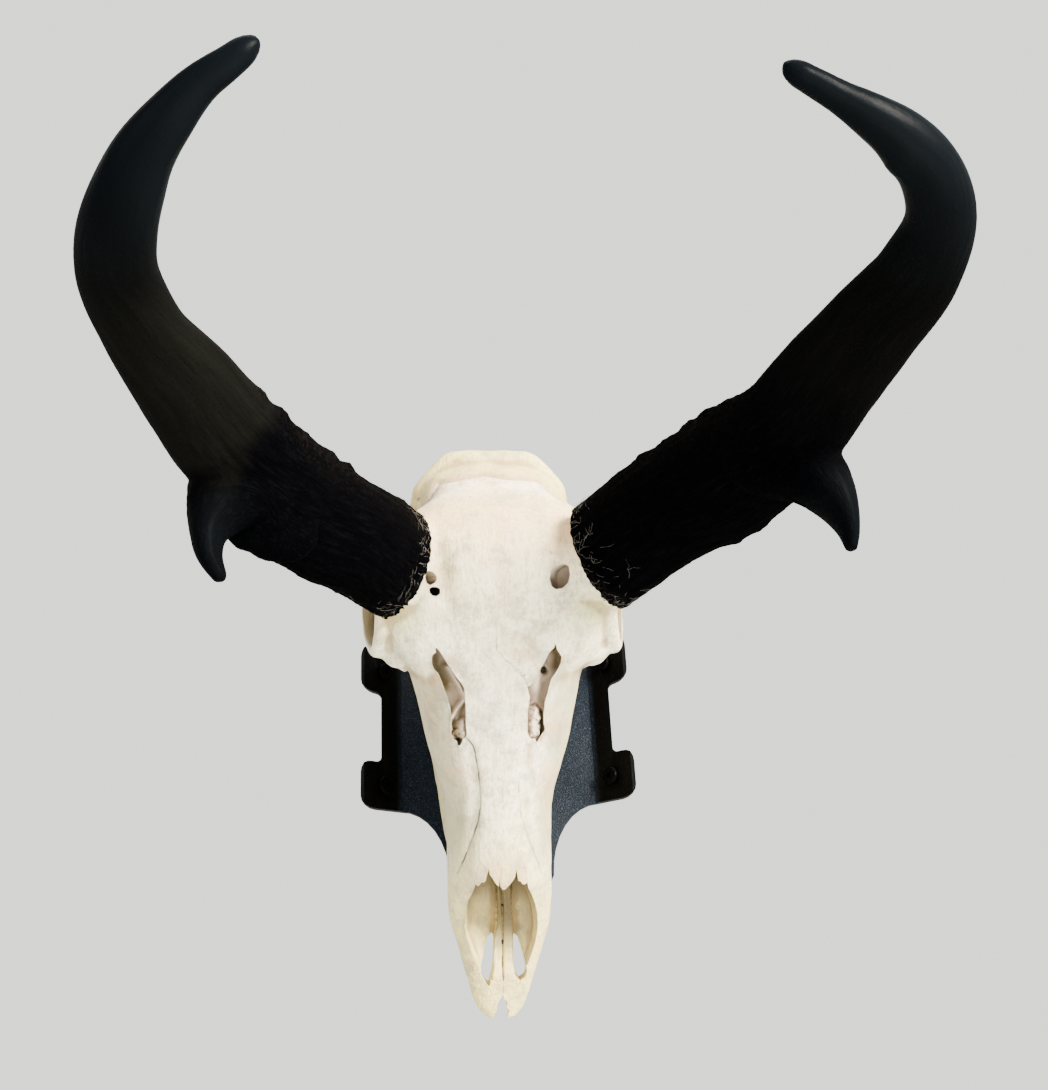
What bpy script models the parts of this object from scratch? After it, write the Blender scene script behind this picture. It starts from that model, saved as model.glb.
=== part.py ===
"""A horned antelope skull hung nose down on a folded steel bracket that bridges the corner of a room.

The origin is on the back of the bracket's front plate, on its centre line and at half its height. +Y goes
into the corner and +Z is up. The skull has a frame of its own: x across it, s along it from the crest to the
nose, and h above its long axis, towards the forehead. One empty hangs that frame from the bracket.
"""
import math

import bmesh
import bpy
from mathutils import Euler, Matrix, Vector

MM = 0.001
COLLECTION = "skull_mount"
CUTTERS = "skull_mount_cutters"
GAP = 0.4                        # clearance between pieces that touch, in millimetres
HORN_GAP = 0.9                   # the same where a horn sits on the uneven bone

# How the skull hangs: where its own origin is, and how it tilts, leans and twists
SKULL_PLACE = (0.3, -83.6, 123.5)
SKULL_TILT = 20.0                # nose towards the wall
SKULL_LEAN = 0.85                # nose to the left
SKULL_TWIST = 3.0                # forehead turned to the right
SECTION_SIDES = 24

# Braincase, forehead and face: s, half width, top, middle, bottom and squareness of each cross-section
BRAINCASE = (
    (-2, 22, 25, 16, 6, 2.2),
    (5, 31, 36, 15, -10, 2.2),
    (15, 37, 50, 15, -24, 2.2),
    (27, 39, 62, 15, -27, 2.2),
    (40, 37, 72, 18, -24, 2.2),
    (50, 29, 78, 20, -19, 2.2),
    (59, 23, 79, 22, -14, 2.2),
    (74, 22, 78, 24, -7, 2.2),
    (90, 24, 75, 26, 2, 2.2),
    (106, 30, 72, 28, 8, 2.2),
)
FOREHEAD = (
    (20, 28, 55, 44, 36, 2.2),
    (32, 41, 69, 56, 47, 2.3),
    (46, 49, 79, 60, 53, 2.2),
    (60, 55, 81, 61, 55, 2.1),
    (76, 59, 81, 60, 54, 2.1),
    (92, 55.5, 78.5, 58, 50, 2.2),
    (104, 49, 76, 56, 44, 2.3),
    (114, 39, 73.5, 52, 30, 2.2),
)
FACE = (
    (99, 42, 75.5, 34, 14, 2.4),
    (108, 44.5, 74.5, 34, 12, 2.5),
    (118, 42.5, 73.5, 34, 12, 2.5),
    (130, 39.8, 72, 33, 12, 2.5),
    (147, 36, 70, 32, 12, 2.5),
    (161, 32, 68, 31, 12.5, 2.5),
    (173, 28.5, 66, 30, 13, 2.5),
    (190, 26.8, 63.5, 29, 13, 2.5),
    (209, 26.6, 60.5, 28, 13.5, 2.4),
    (219, 26.5, 57, 27, 14, 2.4),
    (228, 26.4, 49, 26, 14, 2.4),
    (238, 25.7, 42, 25, 14.5, 2.4),
    (252, 22.2, 35, 23.5, 15, 2.5),
    (267, 17.6, 30, 22, 15.5, 2.5),
    (278, 14.4, 27, 21, 16, 2.5),
    (285, 11.4, 25, 20.5, 17, 2.4),
    (290, 6.5, 23, 20, 18, 2.2),
)

# Bars of bone, drawn on the right and mirrored: points on the centre line with their half width across the
# skull and half height
CREST = ((0, -1, 26, 5, 4.2), (11, -1, 25.8, 5, 4.2), (20.5, -0.5, 25, 4.2, 4), (30, 6.5, 23.5, 3.4, 3.6),
         (37.5, 15, 20, 3.4, 3.4), (39.5, 22, 14, 3, 3), (37.5, 21, -4, 2.8, 3), (33, 17, -18, 2.8, 3))
ORBIT_CENTRE = (60.4, 81, 46)
ORBIT_RADIUS = 18.6
ORBIT_RIM = 4.2
ORBIT_TURN_UP = 12.0
ORBIT_STEPS = (20, 8)             # round the eye, round the rim
CHEEKBONE = ((44, 106, 30, 6, 10), (56.5, 93.5, 25, 4.5, 6.4), (62, 81.5, 21, 3.8, 5.2), (62, 67, 17, 3.4, 4.6),
             (59, 52, 12, 3.2, 4.6), (54, 38, 9, 3.4, 5), (44, 28, 7, 5, 6.5), (34, 24, 6, 6, 8))
TOOTH_RIDGE = ((20.5, 209, 10, 4, 4), (21.5, 198, 4, 5, 5.5), (23.5, 182, 1.5, 6, 6.2), (26, 160, 1, 7, 6.5),
               (28, 138, 1.5, 7.5, 6.5), (28, 122, 4, 6.5, 6), (26, 112, 10, 5, 6))
WING = ((13, 118, 12, 3.5, 5), (12.5, 104, -2, 2.6, 9), (12, 92, -8, 2.6, 9), (12, 80, -6, 3, 7),
        (12, 68, -4, 4, 5))
HIND_SPUR = ((31, 19, -14, 5, 5), (30, 20, -28, 4, 4), (28.5, 22, -40, 3, 3), (27.5, 24, -49, 1.6, 1.8))

# The bone stub inside each horn: distance along the horn from its rim, and its size as a part of the rim's
HORN_STUB = ((-18, 0.75), (-7, 0.95), (-1, 0.95), (5, 0.84), (13, 0.6), (18, 0.3))

# Solid lumps, on the right and mirrored: centre and three radii
EAR_BULLA = ((22, 40, -28), (9, 15, 12))
CONDYLE = ((14.5, 12, -34), (8, 9.5, 11))
TEAR_BONE = ((48.5, 101.5, 44), (9, 8, 17))

# Cuts in the bone
BROW_HOLES = (("brow_hole_left_cut", -30, 64.2, 3.5, 4.3), ("brow_hole_left_small_cut", -30.2, 71.6, 2.6, 2.0),
              ("brow_hole_right_cut", 29.6, 64.6, 4.7, 6.0))
BROW_HOLE_FOOT = 45.0
CAVITY = (
    (70, 8, 2, -10, -34, 2.2),
    (90, 9, 10, -2, -24, 2.2),
    (104, 10, 24, 12, 0, 2.2),
    (118, 12, 40, 28, 18, 2.2),
    (140, 14, 55, 36, 20, 2.2),
    (170, 15, 56, 36, 20, 2.2),
    (200, 14.5, 55, 36, 20, 2.2),
    (224, 14, 54, 36, 20.5, 2.2),
)
NOSE_OPENING = ((-13.5, 213), (-11.5, 216), (-8.5, 213), (-6.5, 207), (-4.5, 211), (0, 217), (3, 218),
                (6, 213), (7.5, 207.5), (10, 213), (13.5, 215), (16.5, 224), (17.5, 233), (16, 243),
                (13, 253), (9.5, 262), (6, 267), (0, 268), (-6, 267), (-9.5, 262), (-13, 253), (-16, 243),
                (-17.5, 233), (-16, 223))
NOSE_FLOOR = 21.0
PALATE_SLOT = ((5.2, 247), (8, 250), (10.5, 258), (11, 266), (8.2, 272), (5.2, 267), (4.4, 257))
CHIN_NOTCH = ((-0.6, 275), (0.6, 275), (2.4, 283), (3, 296), (-3, 296), (-2.4, 283))
TEAR_SLOT_LEFT = ((-30, 100), (-31.5, 106), (-29.5, 110.5), (-23.5, 120), (-21.5, 130), (-21.5, 140),
                  (-18, 146), (-14.8, 142), (-15, 121), (-19.5, 112), (-26, 103.5))
TEAR_SLOT_RIGHT = ((28.5, 100), (32, 105), (31, 110), (28, 115), (25, 122), (23, 131), (22.5, 140),
                   (20, 144), (15, 142), (14.5, 130), (15.5, 121), (19.5, 113), (24, 104.5))
TEAR_SLOT_FLOOR = 55.0
BRAIN_HOLE_PLACE = (2, 11.4, -28.4)
BRAIN_HOLE_HALF = (13.5, 10.5)
BRAIN_HOLE_DEPTH = 34.0
BRAIN_HOLE_OUTSIDE = 20.0
BRAIN_HOLE_TAPER = 0.88          # its inner end, as a part of its mouth
CHEEK_HOLE = ((27, 200, 30), (5, 3.5, 2.6))
ABOVE_BONE = 90.0                # where a cut from above starts
PALATE_CUT = (5, 40)
VOXEL = 2.2
SKULL_RATIO = 0.065

# Horn sheaths: points on the centre line, half width as seen from in front, half thickness
LEFT_HORN = ((-47, 59, 71.5, 27, 15.5), (-64, 50, 108, 26, 16.5), (-89.5, 38, 152, 26, 15),
             (-113, 16.5, 198, 22.6, 13), (-124.5, 1, 225, 20, 12), (-136, -15, 256, 15.2, 11.5),
             (-140, -29, 279, 14.4, 11.5), (-137, -38, 294, 13.8, 11), (-130.3, -49, 307, 12, 10),
             (-124.3, -57, 315, 10.4, 9), (-114.6, -66, 323, 8.4, 7.6), (-104.4, -75, 328, 6.4, 6),
             (-95.2, -81, 330, 5.4, 5), (-88, -87, 330, 3.8, 3.6),
             (-85.6, -89, 330, 1.8, 1.8))
RIGHT_HORN = ((50.8, 57, 71.5, 27.5, 15.5), (75, 40, 108, 26.8, 16.5), (102, 25, 152, 27.6, 15),
              (119.5, 9, 198, 23, 13), (123.5, 2, 210, 22, 12.5), (134.5, -15, 246, 18.6, 11.5),
              (144.4, -30, 274, 15.8, 11), (144.8, -45, 296, 12.8, 10.4), (137.6, -54.5, 307, 11.4, 9.6),
              (125.5, -62.5, 316, 9.8, 8.4), (112.8, -68, 322, 7.6, 6.8), (101.6, -73, 325, 5.6, 5.2),
              (92, -77.5, 327, 4.8, 4.6), (84, -81.4, 328, 3.5, 3.3), (81.8, -82.4, 328, 1.8, 1.8))
LEFT_PRONG = ((-104, 21, 172, 24, 21), (-118.6, 40, 190, 15.5, 17), (-122, 53, 198, 8.6, 12),
              (-120, 64, 203, 4.8, 7.5), (-115.4, 73, 205, 2.4, 3.4))
RIGHT_PRONG = ((112, 17, 172, 23, 21), (128.5, 34.5, 190, 14, 17), (135, 48.5, 198, 7.8, 12.5),
               (136.8, 57.5, 202, 4.4, 7.6), (136.6, 66, 205, 2.2, 3.4))
HORN_RIM_SLANT = 0.24            # how far the rim's upper side stays back from the head, per width
HORN_SIDES = 14
PRONG_SIDES = 12

# Upper cheek teeth, front to back: name, length, width, distance from the middle line, level of the crown
CHEEK_TEETH = (("premolar_2", 7.0, 6.5, 21.8, -11.5), ("premolar_3", 8.0, 7.5, 23.0, -13.5),
               ("premolar_4", 8.5, 8.5, 24.3, -14.0), ("molar_1", 12.0, 9.5, 26.0, -15.0),
               ("molar_2", 15.0, 10.0, 27.5, -15.0), ("molar_3", 18.0, 9.5, 28.2, -14.0))
TOOTH_ROW_FRONT = 195.0
TOOTH_SPACING = 0.5
TOOTH_ROOT_LEVEL = -1.0
TOOTH_BEVEL = 1.6
SOCKET_GAP = 0.2
SOCKET_MOUTH = 5.0               # how far a socket's cut runs past the crown's tip

# Folded bracket, in its own frame
SHEET = 3.0
FOLD_X = 54.4
FLANGE_REACH = 20.0              # how far the flanges come forward
LOBE_LOW = 20.0
LOBE_HIGH = 46.7
WAIST_X = 63.7
LOBE_ROUND = 6.5
WAIST_ROUND = 3.0
TONGUE_HALF = 28.0
TONGUE_TIP_HALF = 16.0
TONGUE_ROUND = 10.0
TONGUE_END = -106.0
PLATE_FOOT = -45.0
CURVE_FOOT = -83.0
CURVE_STEPS = 8
SCREW_X = 64.4
SCREW_Z = 32.7
SCREW_HOLE = 2.7
SLIP = 0.3                       # clearance under heads and round shanks
STRIP_SPARE = 4.0                # the folded strip before it is trimmed is this much longer
TRIM_DEPTH = 80.0                # the trimming outline's own depth, and the middle of it
TRIM_MIDDLE = -10.0
BOLT_HOLE_DEPTH = 30.0
BOLT_HOLE_MIDDLE = -5.0
WELD = 0.00001                   # metres, for joining points that coincide

# A wall screw from the top of its head down, as radius and height over the face that it clamps, and its shank
SCREW_HEAD = ((0, 1.2), (1.7, 1.2), (2.0, 2.7), (3.4, 2.2), (4.7, 0.8), (4.8, 0))
SCREW_SHANK = ((2.2, SHEET + SLIP), (2.2, 1.4), (0, 0.5))

# Hanger arm, a flat bar bent into a hook
ARM_HALF = 8.0
ARM_THICK = 4.0
ARM_FOOT = 4.0
ARM_TOP = 141.0
ARM_BEND = 15.0
ARM_TURN = 144.0
ARM_LEG = 52.0
ARM_BEND_STEPS = 8
SLEEVE_LENGTH = 30.0
SLEEVE_PAST_END = 3.0
SLEEVE_WALL = (3.0, 2.2)
SLEEVE_SQUARE = (0.7, 0.5)       # how square its section is: 1 is an oval, 0 a box
BOLT_HEIGHTS = {"upper": 36.0, "lower": 15.0}
BOLT_RADIUS = 3.0
BOLT_HEAD = (5.6, 3.8)           # radius to a corner, height
BOLT_SHANK = 20.0
SHANK_IN_HEAD = 1.0
NUT = (5.8, 5.0)


def bone(x, s, h):
    """A point of the skull's own frame, in metres."""
    return Vector((x, -h, -s)) * MM


def place(x, y, z):
    """A point of the bracket's frame, in metres."""
    return Vector((x, y, z)) * MM


# Making objects

def clear_scene():
    for item in list(bpy.data.objects):
        bpy.data.objects.remove(item, do_unlink=True)


def new_collection(name):
    group = bpy.data.collections.new(name)
    bpy.context.scene.collection.children.link(group)
    return group


def new_material(name, colour, roughness, metallic=0.0):
    material = bpy.data.materials.new(name)
    material.use_nodes = True
    shader = material.node_tree.nodes["Principled BSDF"]
    shader.inputs["Base Color"].default_value = (*colour, 1.0)
    shader.inputs["Roughness"].default_value = roughness
    shader.inputs["Metallic"].default_value = metallic
    return material


def add_object(name, work, parent=None, material=None):
    """Turns a bmesh into an object, facing out, among the parts or, without a material, the cutters."""
    work.normal_update()
    bmesh.ops.recalc_face_normals(work, faces=work.faces)
    mesh = bpy.data.meshes.new(name)
    work.to_mesh(mesh)
    work.free()
    return add_mesh_object(name, mesh, parent, material)


def add_mesh_object(name, mesh, parent=None, material=None):
    item = bpy.data.objects.new(name, mesh)
    if material:
        mesh.materials.append(material)
        mesh.shade_smooth()
        mesh.set_sharp_from_angle(angle=math.radians(40))
        parts.objects.link(item)
    else:
        item.hide_render = True
        item.display_type = "WIRE"
        cutters.objects.link(item)
    if parent:
        item.parent = parent
    return item


def cut(item, tool, operation="DIFFERENCE"):
    modifier = item.modifiers.new(tool.name, "BOOLEAN")
    modifier.operation = operation
    modifier.solver = "EXACT"
    modifier.object = tool


# Making shapes

def section(s, half_width, top, middle, bottom, square, sides=SECTION_SIDES):
    """A ring across the skull with its own heights above and below the middle."""
    ring = []
    for k in range(sides):
        angle = 2 * math.pi * k / sides
        across = math.copysign(abs(math.cos(angle)) ** (2 / square), math.cos(angle))
        up = math.copysign(abs(math.sin(angle)) ** (2 / square), math.sin(angle))
        reach = top - middle if up > 0 else middle - bottom
        ring.append(bone(half_width * across, s, middle + reach * up))
    return ring


def loft(work, rings):
    """Skins rings that have the same number of points and closes both ends."""
    rows = [[work.verts.new(point) for point in ring] for ring in rings]
    for back, front in zip(rows, rows[1:]):
        for k, vertex in enumerate(back):
            nearby = (k + 1) % len(back)
            work.faces.new((vertex, back[nearby], front[nearby], front[k]))
    work.faces.new(list(reversed(rows[0])))
    work.faces.new(rows[-1])


def bar(work, stations, sides=12, side=1, level=Vector((1, 0, 0))):
    """Skins an oval bar along its centre line. The first half size lies near the level direction."""
    centres = [bone(side * x, s, h) for x, s, h, _, _ in stations]
    rings = []
    for k, (_, _, _, across, up) in enumerate(stations):
        along = (centres[min(k + 1, len(centres) - 1)] - centres[max(k - 1, 0)]).normalized()
        first = (level - along * level.dot(along)).normalized()
        second = along.cross(first)
        ring = []
        for j in range(sides):
            angle = 2 * math.pi * j / sides
            ring.append(centres[k] + (first * across * math.cos(angle) + second * up * math.sin(angle)) * MM)
        rings.append(ring)
    loft(work, rings)


def horn_tube(work, stations, sides, slant=0.0):
    """Skins a flattened horn: the half width faces the front, the half thickness runs back from it."""
    centres = [bone(x, s, h) for x, s, h, _, _ in stations]
    front = Vector((0, -1, 0))
    rings = []
    for k, (_, _, _, wide, thin) in enumerate(stations):
        along = (centres[min(k + 1, len(centres) - 1)] - centres[max(k - 1, 0)]).normalized()
        across = along.cross(front).normalized()
        deep = along.cross(across)
        ring = []
        for j in range(sides):
            angle = 2 * math.pi * j / sides
            spot = across * wide * math.cos(angle) + deep * thin * math.sin(angle)
            if k == 0:
                spot -= along * math.copysign(slant, along.x) * wide * math.cos(angle)
            ring.append(centres[k] + spot * MM)
        rings.append(ring)
    loft(work, rings)


def ellipsoid(work, centre, radii, side=1, segments=16, rings=10):
    x, s, h = centre
    size = Matrix.Diagonal((radii[0] * MM, radii[2] * MM, radii[1] * MM, 1))
    spot = Matrix.Translation(bone(side * x, s, h))
    bmesh.ops.create_uvsphere(work, u_segments=segments, v_segments=rings, radius=1, matrix=spot @ size)


def prism(work, outline, low, high):
    """A flat outline in x and s, raised from one height to another."""
    floor = [work.verts.new(bone(x, s, low)) for x, s in outline]
    made = bmesh.ops.extrude_face_region(work, geom=[work.faces.new(floor)])
    raised = [v for v in made["geom"] if isinstance(v, bmesh.types.BMVert)]
    bmesh.ops.translate(work, verts=raised, vec=bone(0, 0, high - low))


def block(work, centre, size, bevel):
    """A box on its end with its four upright edges cut off."""
    made = bmesh.ops.create_cube(work, size=1, matrix=Matrix.Translation(centre) @ Matrix.Diagonal((*size, 1)))
    upright = []
    for edge in {e for v in made["verts"] for e in v.link_edges}:
        if abs(edge.verts[0].co.y - edge.verts[1].co.y) > size[1] / 2:
            upright.append(edge)
    bmesh.ops.bevel(work, geom=upright, offset=bevel, segments=1, affect="EDGES")


# The skull

def skull_shape():
    """The closed bodies that fuse into the skull's bone."""
    work = bmesh.new()
    for stations in (BRAINCASE, FOREHEAD, FACE):
        loft(work, [section(*station) for station in stations])
    for side in (-1, 1):
        for stations in (CREST, CHEEKBONE, TOOTH_RIDGE, WING, HIND_SPUR):
            bar(work, stations, side=side)
        for centre, radii in (EAR_BULLA, CONDYLE, TEAR_BONE):
            ellipsoid(work, centre, radii, side)
        orbit_rim(work, side)
    for horn in (LEFT_HORN, RIGHT_HORN):
        horn_stub(work, horn)
    return work


def horn_stub(work, horn):
    """The stub of bone that one horn sits on, along the horn's own axis."""
    x, s, h, wide, thin = horn[0]
    rim = Vector((x, s, h))
    along = (Vector(horn[1][:3]) - rim).normalized()
    stations = []
    for distance, share in HORN_STUB:
        spot = rim + along * distance
        stations.append((*spot, wide * share, thin * share))
    horn_tube(work, stations, HORN_SIDES)


def orbit_rim(work, side):
    """The bony ring round one eye, facing out and a little up."""
    centre = bone(side * ORBIT_CENTRE[0], ORBIT_CENTRE[1], ORBIT_CENTRE[2])
    turn = Matrix.Rotation(math.radians(side * -ORBIT_TURN_UP), 4, "Z")
    turns, sides = ORBIT_STEPS
    rows = []
    for k in range(turns):
        around = 2 * math.pi * k / turns
        row = []
        for j in range(sides):
            angle = 2 * math.pi * j / sides
            reach = ORBIT_RADIUS + ORBIT_RIM * math.cos(angle)
            spot = Vector((ORBIT_RIM * math.sin(angle), reach * math.cos(around), reach * math.sin(around)))
            row.append(work.verts.new(centre + turn @ (spot * MM)))
        rows.append(row)
    for k, row in enumerate(rows):
        beside = rows[(k + 1) % turns]
        for j in range(sides):
            work.faces.new((row[j], row[(j + 1) % sides], beside[(j + 1) % sides], beside[j]))


def fuse(item, offset=0.0):
    """Melts the overlapping bodies into one skin, and thins it out."""
    remesh = item.modifiers.new("fuse", "REMESH")
    remesh.mode = "VOXEL"
    remesh.voxel_size = VOXEL * MM
    smooth = item.modifiers.new("soften", "SMOOTH")
    smooth.factor = 0.5
    smooth.iterations = 3
    thin = item.modifiers.new("thin out", "DECIMATE")
    thin.ratio = SKULL_RATIO
    if offset:
        grow = item.modifiers.new("grow", "DISPLACE")
        grow.mid_level = 0.0
        grow.strength = offset * MM


def cut_prism(name, outline, low, high, side=1):
    work = bmesh.new()
    prism(work, [(side * x, s) for x, s in outline], low, high)
    return add_object(name, work, hanger)


def skull_cutters():
    """Every hollow and hole of the bone, each as its own cutter."""
    work = bmesh.new()
    loft(work, [section(*station, sides=16) for station in CAVITY])
    yield add_object("nasal_passage_cut", work, hanger)
    yield cut_prism("nose_opening_cut", NOSE_OPENING, NOSE_FLOOR, ABOVE_BONE)
    yield cut_prism("chin_notch_cut", CHIN_NOTCH, *PALATE_CUT)
    yield cut_prism("tear_slot_left_cut", TEAR_SLOT_LEFT, TEAR_SLOT_FLOOR, ABOVE_BONE)
    yield cut_prism("tear_slot_right_cut", TEAR_SLOT_RIGHT, TEAR_SLOT_FLOOR, ABOVE_BONE)
    for side, word in ((-1, "left"), (1, "right")):
        yield cut_prism("palate_slot_%s_cut" % word, PALATE_SLOT, *PALATE_CUT, side)
        work = bmesh.new()
        ellipsoid(work, *CHEEK_HOLE, side, segments=8, rings=6)
        yield add_object("cheek_hole_%s_cut" % word, work, hanger)
    for name, x, s, half_width, half_length in BROW_HOLES:
        work = bmesh.new()
        over = (x, s + 1, ABOVE_BONE, half_width, half_length)
        under = (x * 1.08, s - 2, BROW_HOLE_FOOT, half_width, half_length)
        bar(work, (over, under), 8)
        yield add_object(name, work, hanger)
    yield brain_hole_cutter()
    yield tooth_socket_cutter()


def brain_hole_cutter():
    """The opening for the spinal cord, as deep as the arm's end needs, aimed at the arm."""
    work = bmesh.new()
    depth = (BRAIN_HOLE_DEPTH + BRAIN_HOLE_OUTSIDE) * MM
    bmesh.ops.create_cone(work, cap_ends=True, segments=16, radius1=BRAIN_HOLE_TAPER, radius2=1.0, depth=1.0)
    wide, high = BRAIN_HOLE_HALF
    for vertex in work.verts:
        vertex.co = Vector((vertex.co.x * high * MM, vertex.co.y * wide * MM, (vertex.co.z + 0.5) * depth))
    inward = hanger.matrix_world.to_3x3().inverted() @ arm_leg_direction()
    turn = (-inward).to_track_quat("Z", "X").to_matrix().to_4x4()
    start = bone(*BRAIN_HOLE_PLACE) + inward * BRAIN_HOLE_DEPTH * MM
    work.transform(Matrix.Translation(start) @ turn)
    return add_object("brain_hole_cut", work, hanger)


# Teeth

def tooth_layout():
    """Name, centre along the skull, length, width, distance from the middle and tip level of each tooth."""
    front = TOOTH_ROW_FRONT
    for name, length, width, out, tip in CHEEK_TEETH:
        yield name, front - length / 2, length, width, out, tip
        front -= length + TOOTH_SPACING


def tooth_body(work, side, s, length, width, out, top, bottom, grow=0.0):
    centre = bone(side * out, s, (top + bottom) / 2)
    size = ((width + 2 * grow) * MM, (top - bottom) * MM, (length + 2 * grow) * MM)
    block(work, centre, size, (TOOTH_BEVEL + grow * 0.4) * MM)


def tooth_socket_cutter():
    work = bmesh.new()
    for side in (-1, 1):
        for _, s, length, width, out, tip in tooth_layout():
            tooth_body(work, side, s, length, width, out, TOOTH_ROOT_LEVEL + GAP, tip - SOCKET_MOUTH, SOCKET_GAP)
    return add_object("tooth_sockets_cut", work, hanger)


def make_teeth(material):
    for side, word in ((-1, "left"), (1, "right")):
        for name, s, length, width, out, tip in tooth_layout():
            work = bmesh.new()
            tooth_body(work, side, s, length, width, out, TOOTH_ROOT_LEVEL, tip)
            add_object("%s_%s" % (word, name), work, hanger, material)


# Horns

def make_horn(name, horn, prong, material):
    work = bmesh.new()
    horn_tube(work, horn, HORN_SIDES, HORN_RIM_SLANT)
    item = add_object(name, work, hanger, material)
    work = bmesh.new()
    horn_tube(work, prong, PRONG_SIDES)
    prong_item = add_object(name + "_prong", work, hanger)
    cut(item, prong_item, "UNION")
    cut(item, seat)


# Bracket

def flat_curve(name, outline, thickness):
    """A closed outline in the curve's own plane, given thickness, as a mesh."""
    curve = bpy.data.curves.new(name, "CURVE")
    curve.dimensions = "2D"
    curve.fill_mode = "BOTH"
    curve.extrude = thickness * MM / 2
    line = curve.splines.new("POLY")
    line.points.add(len(outline) - 1)
    for point, (a, b) in zip(line.points, outline):
        point.co = (a * MM, b * MM, 0, 1)
    line.use_cyclic_u = True
    item = bpy.data.objects.new(name, curve)
    bpy.context.scene.collection.objects.link(item)
    bpy.context.view_layer.update()
    mesh = bpy.data.meshes.new_from_object(item.evaluated_get(bpy.context.evaluated_depsgraph_get()))
    bpy.data.objects.remove(item)
    bpy.data.curves.remove(curve)
    work = bmesh.new()
    work.from_mesh(mesh)
    bpy.data.meshes.remove(mesh)
    bmesh.ops.remove_doubles(work, verts=work.verts, dist=WELD)
    return work


def rounded(corners, steps=4):
    """An outline from corners given as x, z and the radius of their rounding."""
    points = []
    for k, (x, z, radius) in enumerate(corners):
        here = Vector((x, z))
        if not radius:
            points.append((x, z))
            continue
        before = (Vector(corners[k - 1][:2]) - here).normalized()
        after = (Vector(corners[(k + 1) % len(corners)][:2]) - here).normalized()
        half = before.angle(after) / 2
        centre = here + (before + after).normalized() * radius / math.sin(half)
        start = here + before * radius / math.tan(half) - centre
        sweep = (here + after * radius / math.tan(half) - centre).angle_signed(start)
        for j in range(steps + 1):
            turned = Matrix.Rotation(sweep * j / steps, 2) @ start
            points.append(tuple(centre + turned))
    return points


def plate_curve():
    """The hollow quarter curve that leads from the foot of a flange in to the tongue."""
    points = []
    for j in range(1, CURVE_STEPS):
        angle = math.pi / 2 * j / CURVE_STEPS
        x = FOLD_X - (FOLD_X - TONGUE_HALF) * math.sin(angle)
        z = CURVE_FOOT + (PLATE_FOOT - CURVE_FOOT) * math.cos(angle)
        points.append((x, z, 0))
    return points


def bracket_outline():
    """The bracket seen from in front."""
    edge = FOLD_X + FLANGE_REACH
    right = [(FOLD_X - 1, LOBE_HIGH, 0), (edge, LOBE_HIGH, LOBE_ROUND), (edge, LOBE_LOW, LOBE_ROUND),
             (WAIST_X, LOBE_LOW, WAIST_ROUND), (WAIST_X, -LOBE_LOW, WAIST_ROUND),
             (edge, -LOBE_LOW, LOBE_ROUND), (edge, -LOBE_HIGH, LOBE_ROUND), (FOLD_X, PLATE_FOOT, 0)]
    right += plate_curve()
    right += [(TONGUE_HALF, CURVE_FOOT, 0), (TONGUE_TIP_HALF, TONGUE_END, TONGUE_ROUND)]
    left = [(-x, z, radius) for x, z, radius in reversed(right)]
    return rounded(right + left)


def make_bracket(material):
    """A folded strip, seen from above, trimmed to its outline, with four screw holes and two bolt holes."""
    miter = SHEET * math.tan(math.radians(22.5))
    nib = SHEET * math.sqrt(0.5)
    tip = FOLD_X + FLANGE_REACH
    back = [(-tip, -FLANGE_REACH), (-FOLD_X, 0), (FOLD_X, 0), (tip, -FLANGE_REACH)]
    front = [(tip - nib, -FLANGE_REACH - nib), (FOLD_X - miter, -SHEET), (-FOLD_X + miter, -SHEET),
             (-tip + nib, -FLANGE_REACH - nib)]
    work = flat_curve("strip", back + front, LOBE_HIGH - TONGUE_END + STRIP_SPARE)
    work.transform(Matrix.Translation(place(0, 0, (LOBE_HIGH + TONGUE_END) / 2)))
    item = add_object("corner_bracket", work, None, material)
    work = flat_curve("outline", bracket_outline(), TRIM_DEPTH)
    work.transform(Matrix.Translation(place(0, TRIM_MIDDLE, 0)) @ Matrix.Rotation(math.radians(90), 4, "X"))
    cut(item, add_object("bracket_outline_cut", work), "INTERSECT")
    work = bmesh.new()
    for side in (-1, 1):
        for level in (-1, 1):
            spot, turn = screw_place(side, level)
            add_round(work, SCREW_HOLE, 4 * SHEET, spot, turn, 12)
    for height in BOLT_HEIGHTS.values():
        bolt_hole(work, height)
    cut(item, add_object("bracket_holes_cut", work))


def bolt_hole(work, height):
    turn = Matrix.Rotation(math.radians(90), 4, "X")
    add_round(work, BOLT_RADIUS + SLIP, BOLT_HOLE_DEPTH, place(0, BOLT_HOLE_MIDDLE, height), turn, 12)


def screw_place(side, level):
    """Where a screw's axis meets the back of its flange, and the turn that points its head off the wall."""
    spot = place(side * SCREW_X, -(SCREW_X - FOLD_X), level * SCREW_Z)
    off_wall = Vector((-side, -1, 0)).normalized()
    return spot, off_wall.to_track_quat("Z", "Y").to_matrix().to_4x4()


# Turned fasteners

def turned(name, profile, material, segments=12):
    """A round piece from its profile: radius and height, down the outside from the top."""
    mesh = bpy.data.meshes.new(name)
    corners = [(radius * MM, 0, height * MM) for radius, height in profile]
    mesh.from_pydata(corners, [(k, k + 1) for k in range(len(corners) - 1)], [])
    item = add_mesh_object(name, mesh, None, material)
    spin = item.modifiers.new("turn", "SCREW")
    spin.steps = segments
    spin.render_steps = segments
    spin.use_merge_vertices = True
    spin.merge_threshold = WELD
    spin.use_smooth_shade = False
    return item


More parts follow.
